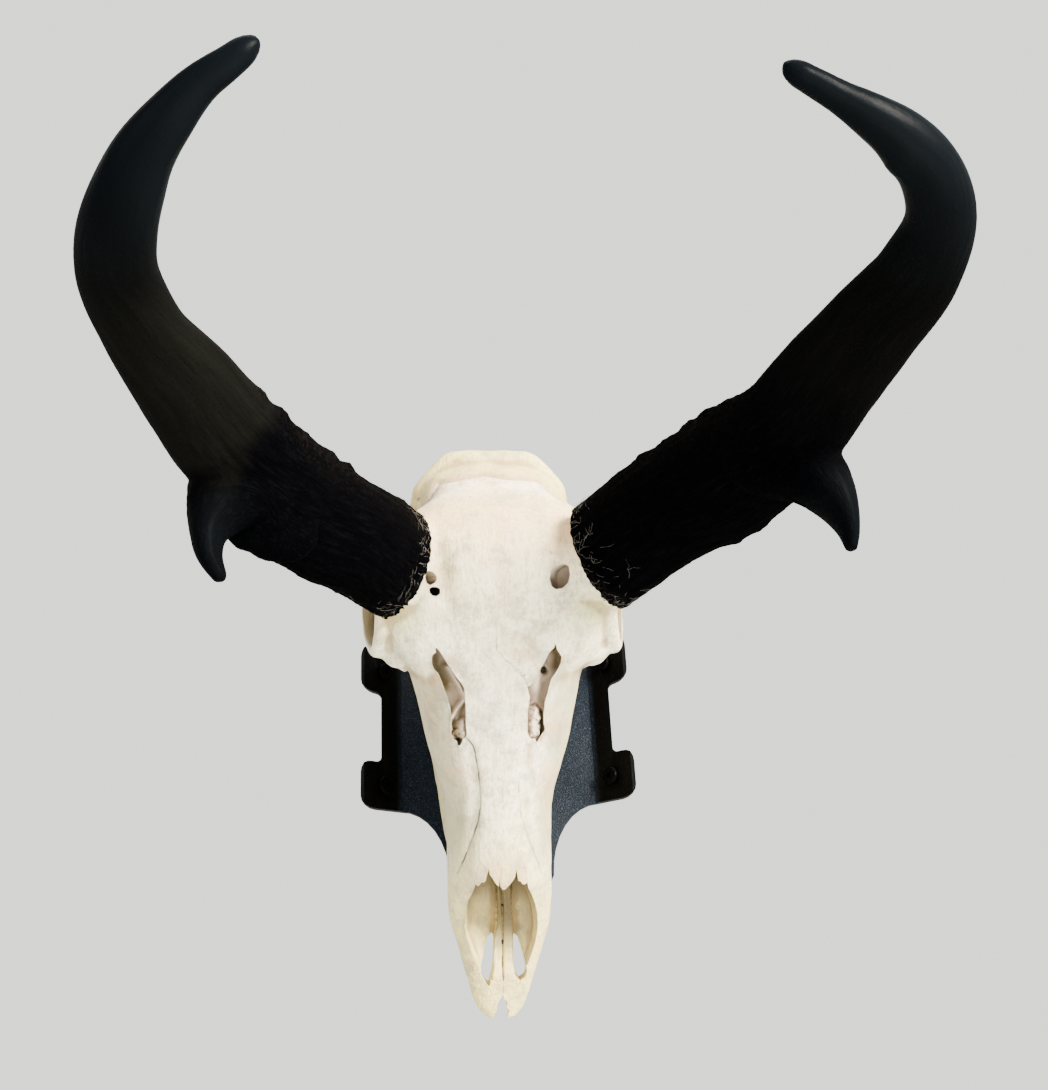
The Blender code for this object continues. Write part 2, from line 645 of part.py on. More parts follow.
def make_wall_screws(material):
    profile = [(radius, SHEET + SLIP + height) for radius, height in SCREW_HEAD]
    profile += SCREW_SHANK
    for side, word in ((-1, "left"), (1, "right")):
        for level, height in ((1, "upper"), (-1, "lower")):
            item = turned("wall_screw_%s_%s" % (height, word), profile, material)
            spot, turn = screw_place(side, level)
            item.matrix_world = Matrix.Translation(spot) @ turn


def arm_leg_direction():
    turn = math.radians(ARM_TURN)
    return Vector((0, -math.sin(turn), math.cos(turn)))


def arm_route():
    """The middle of the bar's thickness: up the plate, over the bend and down into the skull."""
    middle = -SHEET - SLIP - ARM_THICK / 2
    points = [(middle, ARM_FOOT), (middle, ARM_TOP)]
    for k in range(1, ARM_BEND_STEPS + 1):
        angle = math.radians(ARM_TURN) * k / ARM_BEND_STEPS
        points.append((middle - ARM_BEND * (1 - math.cos(angle)), ARM_TOP + ARM_BEND * math.sin(angle)))
    leg = arm_leg_direction() * ARM_LEG
    points.append((points[-1][0] + leg.y, points[-1][1] + leg.z))
    return [Vector(point) for point in points]


def offset_route(route, distance):
    shifted = []
    for k, point in enumerate(route):
        before = (point - route[k - 1]).normalized() if k else (route[1] - point).normalized()
        after = (route[k + 1] - point).normalized() if k + 1 < len(route) else before
        along = (before + after).normalized()
        shifted.append(tuple(point + Vector((-along.y, along.x)) * distance / along.dot(before)))
    return shifted


def make_arm(material, rubber):
    """The flat hook and the rubber sleeve over its end."""
    route = arm_route()
    outline = offset_route(route, ARM_THICK / 2) + list(reversed(offset_route(route, -ARM_THICK / 2)))
    work = flat_curve("hook", outline, 2 * ARM_HALF)
    work.transform(Matrix(((0, 0, 1, 0), (1, 0, 0, 0), (0, 1, 0, 0), (0, 0, 0, 1))))
    item = add_object("hanger_arm", work, None, material)
    work = bmesh.new()
    for height in BOLT_HEIGHTS.values():
        bolt_hole(work, height)
    cut(item, add_object("arm_holes_cut", work))

    end = place(0, route[-1].x, route[-1].y)
    turn = arm_leg_direction().to_track_quat("Z", "X").to_matrix().to_4x4()
    middle = end + arm_leg_direction() * (SLEEVE_PAST_END - SLEEVE_LENGTH / 2) * MM
    work = bmesh.new()
    made = bmesh.ops.create_cone(work, cap_ends=True, segments=16, radius1=1, radius2=1,
                                 depth=SLEEVE_LENGTH * MM)
    for vertex in made["verts"]:
        across = math.copysign(abs(vertex.co.y) ** SLEEVE_SQUARE[1], vertex.co.y)
        thick = math.copysign(abs(vertex.co.x) ** SLEEVE_SQUARE[0], vertex.co.x)
        vertex.co.x = thick * (ARM_THICK / 2 + SLEEVE_WALL[0]) * MM
        vertex.co.y = across * (ARM_HALF + SLEEVE_WALL[1]) * MM
    work.transform(Matrix.Translation(middle) @ turn)
    sleeve = add_object("rubber_sleeve", work, None, rubber)
    work = bmesh.new()
    size = ((ARM_THICK + 2 * GAP) * MM, (2 * ARM_HALF + 2 * GAP) * MM, 2 * (ARM_LEG + 1) * MM)
    bmesh.ops.create_cube(work, size=1, matrix=Matrix.Diagonal((*size, 1)))
    work.transform(Matrix.Translation(end + arm_leg_direction() * (GAP - ARM_LEG - 1) * MM) @ turn)
    cut(sleeve, add_object("sleeve_slot_cut", work))


def make_bolts(material):
    """Two hexagon bolts through arm and plate, each with its nut behind the plate."""
    face = -SHEET - SLIP - ARM_THICK - SLIP
    turn = Matrix.Rotation(math.radians(90), 4, "X")
    for word, height in BOLT_HEIGHTS.items():
        work = bmesh.new()
        add_round(work, *BOLT_HEAD, place(0, face - BOLT_HEAD[1] / 2, height), turn, 6)
        bolt = add_object("arm_bolt_" + word, work, None, material)
        work = bmesh.new()
        add_round(work, BOLT_RADIUS, BOLT_SHANK, place(0, face + BOLT_SHANK / 2 - SHANK_IN_HEAD, height), turn, 12)
        cut(bolt, add_object("bolt_shank_" + word, work), "UNION")
        work = bmesh.new()
        add_round(work, *NUT, place(0, SLIP + NUT[1] / 2, height), turn, 6)
        nut = add_object("arm_nut_" + word, work, None, material)
        work = bmesh.new()
        add_round(work, BOLT_RADIUS + SLIP, 2 * NUT[1], place(0, NUT[1] / 2, height), turn, 12)
        cut(nut, add_object("nut_bore_" + word, work))


def add_round(work, radius, depth, centre, turn, segments):
    bmesh.ops.create_cone(work, cap_ends=True, segments=segments, radius1=radius * MM, radius2=radius * MM,
                          depth=depth * MM, matrix=Matrix.Translation(centre) @ turn)


clear_scene()
parts = new_collection(COLLECTION)
cutters = new_collection(CUTTERS)

hanger = bpy.data.objects.new("skull_hanger", None)
parts.objects.link(hanger)
hanger.rotation_mode = "ZYX"
hanger.location = place(*SKULL_PLACE)
hanger.rotation_euler = Euler([math.radians(a) for a in (SKULL_TILT, SKULL_LEAN, SKULL_TWIST)], "ZYX")
bpy.context.view_layer.update()

bone_white = new_material("bone", (0.80, 0.76, 0.66), 0.55)
horn_black = new_material("horn", (0.012, 0.011, 0.012), 0.45)
enamel = new_material("tooth", (0.62, 0.55, 0.42), 0.35)
black_paint = new_material("black powder coat", (0.02, 0.022, 0.028), 0.45)
black_steel = new_material("black steel", (0.02, 0.02, 0.022), 0.35, 0.8)
black_rubber = new_material("black rubber", (0.015, 0.015, 0.015), 0.8)

skull = add_object("skull", skull_shape(), hanger, bone_white)
fuse(skull)
seat = add_object("horn_seat_cut", skull_shape(), hanger)
fuse(seat, HORN_GAP)
for tool in skull_cutters():
    cut(skull, tool)
make_horn("horn_sheath_left", LEFT_HORN, LEFT_PRONG, horn_black)
make_horn("horn_sheath_right", RIGHT_HORN, RIGHT_PRONG, horn_black)
make_teeth(enamel)
make_bracket(black_paint)
make_wall_screws(black_steel)
make_arm(black_paint, black_rubber)
make_bolts(black_steel)
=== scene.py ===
"""A pronghorn skull with black horn sheaths, hung nose down on a folded black bracket.

The skull has a frame of its own: x across it, s along it from the crest to the nose, and h above its long
axis, towards the forehead. Every piece is made where it hangs and rides on the root body.
"""

import math
import random

import bmesh
import bpy
import numpy as np
from mathutils import Euler, Matrix, Vector, noise
from mathutils.bvhtree import BVHTree


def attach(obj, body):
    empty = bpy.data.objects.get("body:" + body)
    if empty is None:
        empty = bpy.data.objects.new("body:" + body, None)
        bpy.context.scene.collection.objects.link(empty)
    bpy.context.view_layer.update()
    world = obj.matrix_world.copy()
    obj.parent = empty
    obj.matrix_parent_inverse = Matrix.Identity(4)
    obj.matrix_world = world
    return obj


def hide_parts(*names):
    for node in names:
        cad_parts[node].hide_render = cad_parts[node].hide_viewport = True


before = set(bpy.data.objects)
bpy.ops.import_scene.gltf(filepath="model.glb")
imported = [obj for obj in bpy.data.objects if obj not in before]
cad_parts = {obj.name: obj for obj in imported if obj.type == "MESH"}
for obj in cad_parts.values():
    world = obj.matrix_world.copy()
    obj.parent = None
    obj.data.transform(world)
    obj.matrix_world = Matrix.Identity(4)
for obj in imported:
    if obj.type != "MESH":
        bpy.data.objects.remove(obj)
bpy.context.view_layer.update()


# The skull is one piece of dry bone, boiled, bleached and left with its natural sutures, pits and brown
# stains, with painted shade in its creases, hollows and holes. It grew in one piece, so it is melted together
# here from lofted forms, carved and then worn.

MM = 0.001
SKULL_HANG = (Matrix.Translation(Vector((0.3, -83.6, 123.5)) * MM)
              @ Euler([math.radians(a) for a in (20.0, 0.85, 3.0)], "ZYX").to_matrix().to_4x4())

# s, half width, top, middle, bottom and squareness of each cross-section
BRAINCASE = ((-2, 22, 25, 16, 6, 2.2), (5, 31, 36, 15, -10, 2.2), (15, 37, 50, 15, -24, 2.2),
             (27, 39, 62, 15, -27, 2.2), (40, 37, 72, 18, -24, 2.2), (50, 29, 78, 20, -19, 2.2),
             (59, 23, 79, 22, -14, 2.2), (74, 22, 78, 24, -7, 2.2), (90, 24, 75, 26, 2, 2.2),
             (106, 30, 72, 28, 8, 2.2))
FOREHEAD = ((20, 28, 55, 44, 36, 2.2), (32, 41, 69, 56, 47, 2.3), (46, 49, 79, 60, 53, 2.2),
            (60, 55, 81, 61, 55, 2.1), (76, 59, 81, 60, 54, 2.1), (92, 55.5, 78.5, 58, 50, 2.2),
            (104, 49, 76, 56, 44, 2.3), (114, 39, 73.5, 52, 30, 2.2))
FACE = ((99, 42, 75.5, 34, 14, 2.4), (108, 44.5, 74.5, 34, 12, 2.5), (118, 42.5, 73.5, 34, 12, 2.5),
        (130, 39.8, 72, 33, 12, 2.5), (147, 36, 70, 32, 12, 2.5), (161, 32, 68, 31, 12.5, 2.5),
        (173, 28.5, 66, 30, 13, 2.5), (190, 26.8, 63.5, 29, 13, 2.5), (209, 26.6, 60.5, 28, 13.5, 2.4),
        (219, 26.5, 57, 27, 14, 2.4), (228, 26.4, 49, 26, 14, 2.4), (238, 25.7, 42, 25, 14.5, 2.4),
        (252, 22.2, 35, 23.5, 15, 2.5), (267, 17.6, 30, 22, 15.5, 2.5), (278, 14.4, 27, 21, 16, 2.5),
        (285, 11.4, 25, 20.5, 17, 2.4), (290, 6.5, 23, 20, 18, 2.2))

# Bars of bone on the right, mirrored: x, s, h, half width, half height
CREST = ((0, -1.0, 26, 5, 4.2), (11, -1.0, 25.8, 5, 4.2), (20.5, -0.5, 25, 4.2, 4), (30, 6.5, 23.5, 3.4, 3.6),
         (37.5, 15, 20, 3.4, 3.4), (39.5, 22, 14, 3, 3), (37.5, 21, -4, 2.8, 3), (33, 17, -18, 2.8, 3))
CHEEKBONE = ((44, 106, 30, 6, 10), (56.5, 93.5, 25, 4.5, 6.4), (62, 81.5, 21, 3.8, 5.2),
             (62, 67, 17, 3.4, 4.6), (59, 52, 12, 3.2, 4.6), (54, 38, 9, 3.4, 5), (44, 28, 7, 5, 6.5),
             (34, 24, 6, 6, 8))
TOOTH_RIDGE = ((20.5, 209, 10, 4, 4), (21.5, 198, 4, 5, 5.5), (23.5, 182, 1.5, 6, 6.2), (26, 160, 1, 7, 6.5),
               (28, 138, 1.5, 7.5, 6.5), (28, 122, 4, 6.5, 6), (26, 112, 10, 5, 6))
THROAT_WING = ((13, 118, 12, 3.5, 5), (12.5, 104, -2, 2.6, 9), (12, 92, -8, 2.6, 9), (12, 80, -6, 3, 7),
               (12, 68, -4, 4, 5))
HIND_SPUR = ((31, 19, -14, 5, 5), (30, 20, -28, 4, 4), (28.5, 22, -40, 3, 3), (27.5, 24, -49, 1.6, 1.8))

# Solid lumps on the right, mirrored: centre and radii
LUMPS = (((22, 40, -28), (9, 15, 12)), ((14.5, 12, -34), (8, 9.5, 11)), ((48.5, 101.5, 44), (9, 8, 17)))
EYE_CENTRE = (60.4, 81.0, 46)
EYE_RADIUS = 18.6
EYE_RIM = 4.2
EYE_TURN_UP = 12.0

# What is cut away: the nasal passage, then outlines in x and s
NASAL_PASSAGE = ((70, 8, 2, -10, -34, 2.2), (90, 9, 10, -2, -24, 2.2), (104, 10, 24, 12, 0, 2.2),
                 (118, 12, 40, 28, 18, 2.2), (140, 14, 55, 36, 20, 2.2), (170, 15, 56, 36, 20, 2.2),
                 (200, 14.5, 55, 36, 20, 2.2), (224, 14, 54, 36, 20.5, 2.2))
NOSE_OPENING = ((-17.2, 225.3), (-15.1, 221.0), (-13.8, 217.4), (-13.4, 215.7), (-12.2, 216.9),
                (-11.3, 216.1), (-10.5, 214.8), (-9.3, 214.9), (-8.4, 213.9), (-7.8, 211.3), (-6.8, 208.0),
                (-6.3, 210.9), (-5.1, 212.6), (-4.0, 214.6), (-2.8, 216.3), (-1.9, 216.9), (-1.5, 212.6),
                (-1.1, 217.1), (0.0, 218.8), (1.2, 218.7), (3.3, 216.5), (5.0, 214.5), (6.0, 212.6),
                (6.8, 208.7), (7.4, 212.2), (7.9, 214.7), (8.9, 214.9), (9.9, 216.5), (11.1, 216.6),
                (12.3, 215.9), (13.1, 219.3), (14.6, 222.1), (16.7, 227.7), (18.0, 233.5), (18.6, 239.2),
                (18.5, 244.2), (17.6, 249.6), (15.8, 256.1), (13.9, 261.2), (12.0, 265.2), (9.9, 269.6),
                (5, 271.5), (-3, 271.5), (-7.9, 269.4), (-9.9, 266.5), (-11.6, 263.1), (-13.2, 259.0),
                (-15.1, 254.0), (-17.0, 248.1), (-18.3, 242.3), (-18.4, 236.5), (-17.9, 231.0))
NOSE_FLOOR = 19.5
PALATE_SLOTS = (((-4.0, 246.1), (-3.2, 249.5), (-3.4, 254.5), (-3.7, 259.5), (-4.4, 264.5), (-6.3, 271.0),
                 (-7.7, 270.6), (-9.2, 268.4), (-10.8, 265.0), (-10.3, 261.7), (-9.4, 259.2), (-8.7, 255.1),
                 (-8.0, 251.8), (-6.2, 248.1)),
                ((7.1, 246.9), (9.2, 248.7), (10.4, 252.5), (11.6, 256.8), (12.5, 261.0), (13.1, 264.3),
                 (12.1, 267.6), (9.3, 269.4), (8.2, 268.0), (6.6, 264.1), (6.4, 259.9), (6.6, 254.9),
                 (6.6, 249.9)))
CHIN_NOTCH = ((0.5, 275.9), (1.3, 278.4), (2.7, 280.1), (2.4, 282.2), (3.7, 284.7), (2.8, 288.4), (3.0, 296),
              (-4.6, 296), (-4.4, 287.3), (-2.9, 284.5), (-2.6, 281.6), (-1.5, 279.1))
TEAR_SLOTS = (((-31.0, 99.4), (-30.2, 99.3), (-29.1, 100.6), (-27.6, 103.0), (-26.0, 105.7), (-23.4, 110.0),
               (-20.8, 113.8), (-18.0, 117.6), (-17.1, 119.8), (-17.2, 122.5), (-16.7, 127.3), (-16.7, 133.1),
               (-16.8, 138.4), (-16.4, 141.6), (-16.9, 143.2), (-18.1, 143.6), (-18.9, 145.8), (-20.0, 147.3),
               (-21.0, 147.0), (-21.4, 144.9), (-22.8, 144.1), (-24.1, 141.4), (-23.8, 138.2), (-23.7, 134.5),
               (-24.1, 129.7), (-24.6, 127.0), (-25.6, 123.3), (-27.3, 118.5), (-28.3, 115.2), (-29.9, 111.5),
               (-31.7, 109.8), (-32.7, 107.1), (-32.9, 103.9), (-32.1, 102.3), (-30.9, 101.5)),
              ((28.0, 98.6), (28.5, 101.2), (29.5, 102.8), (31.0, 105.0), (30.7, 107.7), (29.3, 110.9),
               (27.6, 113.5), (25.9, 115.6), (24.7, 119.3), (23.5, 123.6), (22.4, 126.7), (22.0, 129.9),
               (21.6, 133.1), (21.6, 137.4), (22.2, 140.6), (20.9, 142.2), (20.0, 143.7), (18.6, 145.8),
               (17.8, 146.6), (16.9, 144.7), (15.4, 144.9), (13.8, 143.0), (13.4, 140.9), (13.5, 134.0),
               (13.6, 130.8), (14.2, 128.1), (14.9, 124.4), (14.1, 121.7), (13.6, 119.2), (15.6, 118.5),
               (17.2, 116.4), (18.9, 113.8), (20.6, 110.1), (22.3, 107.5), (23.8, 104.3), (25.2, 102.2),
               (26.8, 100.9)))
TEAR_SLOT_FLOOR = 55.0
# Brow holes run outwards under the brow: an outline, and how far out the bore leaves below
BROW_HOLE_FLOOR = 60.0
BROW_HOLES = ((((-34.3, 62.3), (-32.7, 61.7), (-30.5, 62.1), (-28.6, 64.2), (-28.5, 66.3), (-29.4, 67.5),
                (-32.0, 68.9), (-33.9, 67.6), (-34.9, 64.7)), 8.0),
              (((-33.0, 70.4), (-31.6, 69.6), (-29.2, 69.7), (-27.6, 70.6), (-27.7, 73.0), (-29.4, 74.3),
                (-31.7, 73.9), (-32.9, 72.4)), 4.0),
              (((25.2, 63.5), (26.2, 61.6), (28.9, 60.2), (32.2, 59.6), (34.4, 60.9), (35.0, 64.8),
                (34.2, 68.8), (31.6, 71.6), (28.0, 72.2), (25.8, 70.6), (24.8, 66.8)), 6.0))
SPINE_HOLE = ((2, 11.4, -28.4), (13.5, 10.5), 34.0)
SPINE_HOLE_TURN = 144.0
SPINE_DRILL_LENGTH = 54


def bone(x, s, h):
    """A point of the skull's own frame, in metres."""
    return Vector((x, -h, -s)) * MM


def spread(table, run, count):
    """Rows that pass smoothly through the given rows, evenly spaced along the run."""
    table = np.array(table, dtype=float)
    slopes = np.gradient(table, run, axis=0)
    places = np.linspace(run[0], run[-1], count)
    k = np.clip(np.searchsorted(run, places, "right") - 1, 0, len(run) - 2)
    span = (run[k + 1] - run[k])[:, None]
    t = (places - run[k])[:, None] / span
    rows = (2 * t ** 3 - 3 * t ** 2 + 1) * table[k] + (t ** 3 - 2 * t ** 2 + t) * span * slopes[k]
    return rows + (3 * t ** 2 - 2 * t ** 3) * table[k + 1] + (t ** 3 - t ** 2) * span * slopes[k + 1]


def run_of(table):
    """The distance along a bar's centre line at each of its rows."""
    steps = np.linalg.norm(np.diff(np.array(table, dtype=float)[:, :3], axis=0), axis=1)
    return np.concatenate(([0.0], np.cumsum(steps)))


def loft(work, rings):
    rows = [[work.verts.new(point) for point in ring] for ring in rings]
    for back, front in zip(rows, rows[1:]):
        for k, vertex in enumerate(back):
            nearby = (k + 1) % len(back)
            work.faces.new((vertex, back[nearby], front[nearby], front[k]))
    work.faces.new(list(reversed(rows[0])))
    work.faces.new(rows[-1])


def cross_sections(work, table, count, sides=40):
    """Lofts rings across the skull, squarer or rounder, with their own heights above and below."""
    rings = []
    run = np.array([row[0] for row in table])
    for s, half_width, top, middle, bottom, square in spread(table, run, count):
        ring = []
        for k in range(sides):
            angle = 2 * math.pi * k / sides
            across = math.copysign(abs(math.cos(angle)) ** (2 / square), math.cos(angle))
            up = math.copysign(abs(math.sin(angle)) ** (2 / square), math.sin(angle))
            reach = top - middle if up > 0 else middle - bottom
            ring.append(bone(half_width * across, s, middle + reach * up))
        rings.append(ring)
    loft(work, rings)


def bar(work, rows, side=1, sides=16, level=Vector((1, 0, 0))):
    """Lofts an oval bar along its centre line. The first half size lies near the level direction."""
    centres = [bone(side * row[0], row[1], row[2]) for row in rows]
    rings = []
    for k, row in enumerate(rows):
        along = (centres[min(k + 1, len(centres) - 1)] - centres[max(k - 1, 0)]).normalized()
        first = (level - along * level.dot(along)).normalized()
        second = along.cross(first)
        rings.append([centres[k] + (first * row[3] * math.cos(2 * math.pi * j / sides)
                                    + second * row[4] * math.sin(2 * math.pi * j / sides)) * MM
                      for j in range(sides)])
    loft(work, rings)


def ball(work, centre, radii, side=1):
    size = Matrix.Diagonal((radii[0] * MM, radii[2] * MM, radii[1] * MM, 1))
    spot = Matrix.Translation(bone(side * centre[0], centre[1], centre[2]))
    bmesh.ops.create_uvsphere(work, u_segments=28, v_segments=18, radius=1, matrix=spot @ size)


def well(work, outline, levels):
    """A closed outline in x and s, carried through levels of height, share of its size and shift outwards."""
    middle = (sum(x for x, _ in outline) / len(outline), sum(s for _, s in outline) / len(outline))
    loft(work, [[bone(middle[0] + (x - middle[0]) * share + shift, middle[1] + (s - middle[1]) * share, level)
                 for x, s in outline] for level, share, shift in levels])


def new_item(name, work):
    """Turns a bmesh into an object that faces out."""
    work.normal_update()
    bmesh.ops.recalc_face_normals(work, faces=work.faces)
    mesh = bpy.data.meshes.new(name)
    work.to_mesh(mesh)
    work.free()
    item = bpy.data.objects.new(name, mesh)
    bpy.context.scene.collection.objects.link(item)
    return item


def pick(item):
    """Selects one object and nothing else."""
    bpy.ops.object.select_all(action="DESELECT")
    item.select_set(True)
    bpy.context.view_layer.objects.active = item


def modify(item, kind, **settings):
    """Adds a modifier with its settings and applies it."""
    modifier = item.modifiers.new(kind.lower(), kind)
    for key, value in settings.items():
        setattr(modifier, key, value)
    pick(item)
    bpy.ops.object.modifier_apply(modifier=modifier.name)


def melt(item, voxel, smoothing):
    """Melts overlapping bodies into one even skin."""
    modify(item, "REMESH", mode="VOXEL", voxel_size=voxel * MM)
    if smoothing:
        modify(item, "SMOOTH", factor=0.5, iterations=smoothing)


def cut_away(item, work):
    """Takes the bodies in a bmesh out of an object."""
    tool = new_item("tool", work)
    modify(item, "BOOLEAN", operation="DIFFERENCE", solver="EXACT", object=tool)
    bpy.data.objects.remove(tool)


# Horn stations: x, s, h, half width as seen from in front, half thickness
LEFT_HORN = ((-47, 59, 71.5, 27, 15.5), (-64, 50, 108, 26, 16.5), (-89.5, 38, 152, 26, 15),
             (-113, 16.5, 198, 22.6, 13), (-124.5, 1, 225, 20, 12), (-136, -15, 256, 15.2, 11.5),
             (-140, -29, 279, 14.4, 11.5), (-137, -38, 294, 13.8, 11), (-130.3, -49, 307, 12, 10),
             (-124.3, -57, 315, 10.4, 9), (-114.6, -66, 323, 8.4, 7.6), (-104.4, -75, 328, 6.4, 6),
             (-95.2, -81, 330, 5.4, 5), (-88, -87, 330, 3.8, 3.6),
             (-85.6, -89, 330, 1.8, 1.8))
RIGHT_HORN = ((50.8, 57, 71.5, 27.5, 15.5), (75, 40, 108, 26.8, 16.5), (102, 25, 152, 27.6, 15),
              (119.5, 9, 198, 23, 13), (123.5, 2, 210, 22, 12.5), (134.5, -15, 246, 18.6, 11.5),
              (144.4, -30, 274, 15.8, 11), (144.8, -45, 296, 12.8, 10.4), (137.6, -54.5, 307, 11.4, 9.6),
              (125.5, -62.5, 316, 9.8, 8.4), (112.8, -68, 322, 7.6, 6.8), (101.6, -73, 325, 5.6, 5.2),
              (92, -77.5, 327, 4.8, 4.6), (84, -81.4, 328, 3.5, 3.3), (81.8, -82.4, 328, 1.8, 1.8))
HORN_RIM_SLANT = 0.24
HORN_STUB = ((-18, 0.75), (-7, 0.95), (-1, 0.95), (5, 0.84), (13, 0.6), (18, 0.3))


def horn_rings(rows, sides, slant=0.0):
    """Rings of a flattened horn, the wide way across the front, and its frame at each ring."""
    centres = [bone(*row[:3]) for row in rows]
    rings = []
    frames = []
    for k, row in enumerate(rows):
        along = (centres[min(k + 1, len(centres) - 1)] - centres[max(k - 1, 0)]).normalized()
        across = along.cross(Vector((0, -1, 0))).normalized()
        deep = along.cross(across)
        lean = along * math.copysign(slant, along.x) * max(0.0, 1 - k / 6)
        ring = []
        for j in range(sides):
            angle = 2 * math.pi * j / sides
            out = across * row[3] * math.cos(angle) + deep * row[4] * math.sin(angle)
            ring.append(centres[k] + (out - lean * row[3] * math.cos(angle)) * MM)
        rings.append(ring)
        frames.append((centres[k], along, across, deep))
    return rings, frames


def horn_stub(work, horn):
    """The stub of bone that one horn sits on."""
    rim = Vector(horn[0][:3])
    along = (Vector(horn[1][:3]) - rim).normalized()
    rows = [(*(rim + along * distance), horn[0][3] * share, horn[0][4] * share)
            for distance, share in HORN_STUB]
    loft(work, horn_rings(rows, 24)[0])


def eye_rim(work, side):
    """The bony ring round one eye, facing out and a little up."""
    centre = bone(side * EYE_CENTRE[0], EYE_CENTRE[1], EYE_CENTRE[2])
    turn = Matrix.Rotation(math.radians(side * -EYE_TURN_UP), 4, "Z")
    around, about = 56, 16
    rows = []
    for k in range(around):
        a = 2 * math.pi * k / around
        row = []
        for j in range(about):
            b = 2 * math.pi * j / about
            reach = EYE_RADIUS + EYE_RIM * math.cos(b)
            spot = Vector((EYE_RIM * math.sin(b), reach * math.cos(a), reach * math.sin(a)))
            row.append(work.verts.new(centre + turn @ (spot * MM)))
        rows.append(row)
    for k, row in enumerate(rows):
        beside = rows[(k + 1) % around]
        for j in range(about):
            work.faces.new((row[j], row[(j + 1) % about], beside[(j + 1) % about], beside[j]))


def whole_bone():
    """The overlapping forms that melt into the skull."""
    work = bmesh.new()
    cross_sections(work, BRAINCASE, 60)
    cross_sections(work, FOREHEAD, 50)
    cross_sections(work, FACE, 90)
    for side in (-1, 1):
        for rows in (CREST, CHEEKBONE, TOOTH_RIDGE, THROAT_WING, HIND_SPUR):
            bar(work, spread(rows, run_of(rows), 6 * len(rows)), side)
        for centre, radii in LUMPS:
            ball(work, centre, radii, side)
        eye_rim(work, side)
    for horn in (LEFT_HORN, RIGHT_HORN):
        horn_stub(work, horn)
    return new_item("skull_bone", work)


skull = whole_bone()
melt(skull, 1.5, 4)

work = bmesh.new()
cross_sections(work, NASAL_PASSAGE, 40, 24)
(sx, ss, sh), (spine_wide, spine_high), spine_depth = SPINE_HOLE
lean = math.radians(SPINE_HOLE_TURN)
inward = SKULL_HANG.to_3x3().inverted() @ Vector((0, -math.sin(lean), math.cos(lean)))
drill = Matrix.Translation(bone(sx, ss, sh) + inward * (spine_depth - SPINE_DRILL_LENGTH / 2) * MM)
drill = drill @ (-inward).to_track_quat("Z", "X").to_matrix().to_4x4()
drill = drill @ Matrix.Diagonal((spine_high * MM, spine_wide * MM, SPINE_DRILL_LENGTH * MM, 1))
bmesh.ops.create_cone(work, cap_ends=True, segments=32, radius1=0.88, radius2=1.0, depth=1.0, matrix=drill)
for side in (-1, 1):
    ball(work, (27, 200, 30), (5, 3.5, 2.6), side)
cut_away(skull, work)
melt(skull, 1.3, 1)

# Lines and spots on the bone, in x and s: sutures and cracks with their half width and darkness
CREST_LINE = ((-37, 27), (-27.6, 12.9), (-20.5, 12.0), (-3.9, 9.4), (9.0, 11.8), (23.9, 12.7), (35.8, 26))
CRACKS = (
    (((-1.4, 85.6), (-1.8, 88), (-1.2, 92), (-1.6, 97), (-1.1, 101.5)), 0.22, 0.45),
    (((-1.1, 101.5), (1.0, 103.2), (3.2, 106.5), (5.2, 107.6), (7.6, 110.5), (8.2, 111.6), (10.4, 112.2),
      (10.9, 114.0), (12.6, 115.2), (13.8, 118.4)), 0.2, 0.5),
    (((-1.1, 101.5), (-0.3, 112), (-0.6, 125.4), (-0.2, 140), (-0.6, 154.6), (0.1, 170), (-0.5, 184),
      (0.0, 200), (-1.2, 214)), 0.12, 0.16),
    (((-16.9, 143.4), (-14.6, 145.5), (-13.0, 149), (-12.3, 154.3), (-11.2, 159.2), (-10.8, 166),
      (-10.4, 174), (-11.2, 182.6), (-13.3, 189), (-15.8, 195.9), (-18.6, 203), (-22.0, 211.1)), 0.28, 0.85),
    (((-13.5, 146.9), (-12.6, 153), (-11.3, 159.2)), 0.14, 0.3),
    (((8.2, 164.8), (8.8, 174), (9.4, 183.3), (11.6, 189), (13.7, 195.5), (17.0, 204), (20.3, 212.7)),
     0.2, 0.55),
    (((21.6, 141.5), (19.8, 147.9), (18.3, 150.3), (16.9, 158)), 0.2, 0.4),
    (((-14.2, 216.5), (-12.6, 208), (-11.7, 198.5), (-11.2, 186)), 0.14, 0.3),
    (((12.1, 216.5), (10.5, 208), (8.9, 199.3)), 0.14, 0.32),
    (((-34.3, 134.2), (-30.5, 138), (-28.0, 144), (-25.2, 147.6), (-21.8, 147.6)), 0.14, 0.22),
    (((22.2, 49.3), (25.7, 48.3), (29.7, 47.4)), 0.14, 0.22),
    (((0.8, 258), (0.7, 267), (0.5, 275.6)), 0.2, 0.5),
)
SPOTS = ((13.9, 23.4, 0.5, 0.8), (-11.9, 23.5, 0.6, 0.45), (-37.5, 20.2, 1.1, 0.7), (36.6, 21.5, 1.1, 0.7),
         (-0.1, 127.3, 0.5, 0.6), (9.0, 111.0, 0.8, 0.5), (12.0, 113.8, 0.7, 0.6),
         (12.4, 145.2, 0.6, 0.4), (2.0, 156.0, 0.5, 0.35), (4.2, 151.5, 0.4, 0.3), (1.4, 231.6, 0.6, 1.0),
         (1.3, 235.9, 0.5, 1.0), (1.0, 249.9, 0.6, 1.0), (1.0, 251.0, 0.5, 1.0), (-8.0, 222, 0.4, 0.4),
         (9.5, 233, 0.5, 0.5))


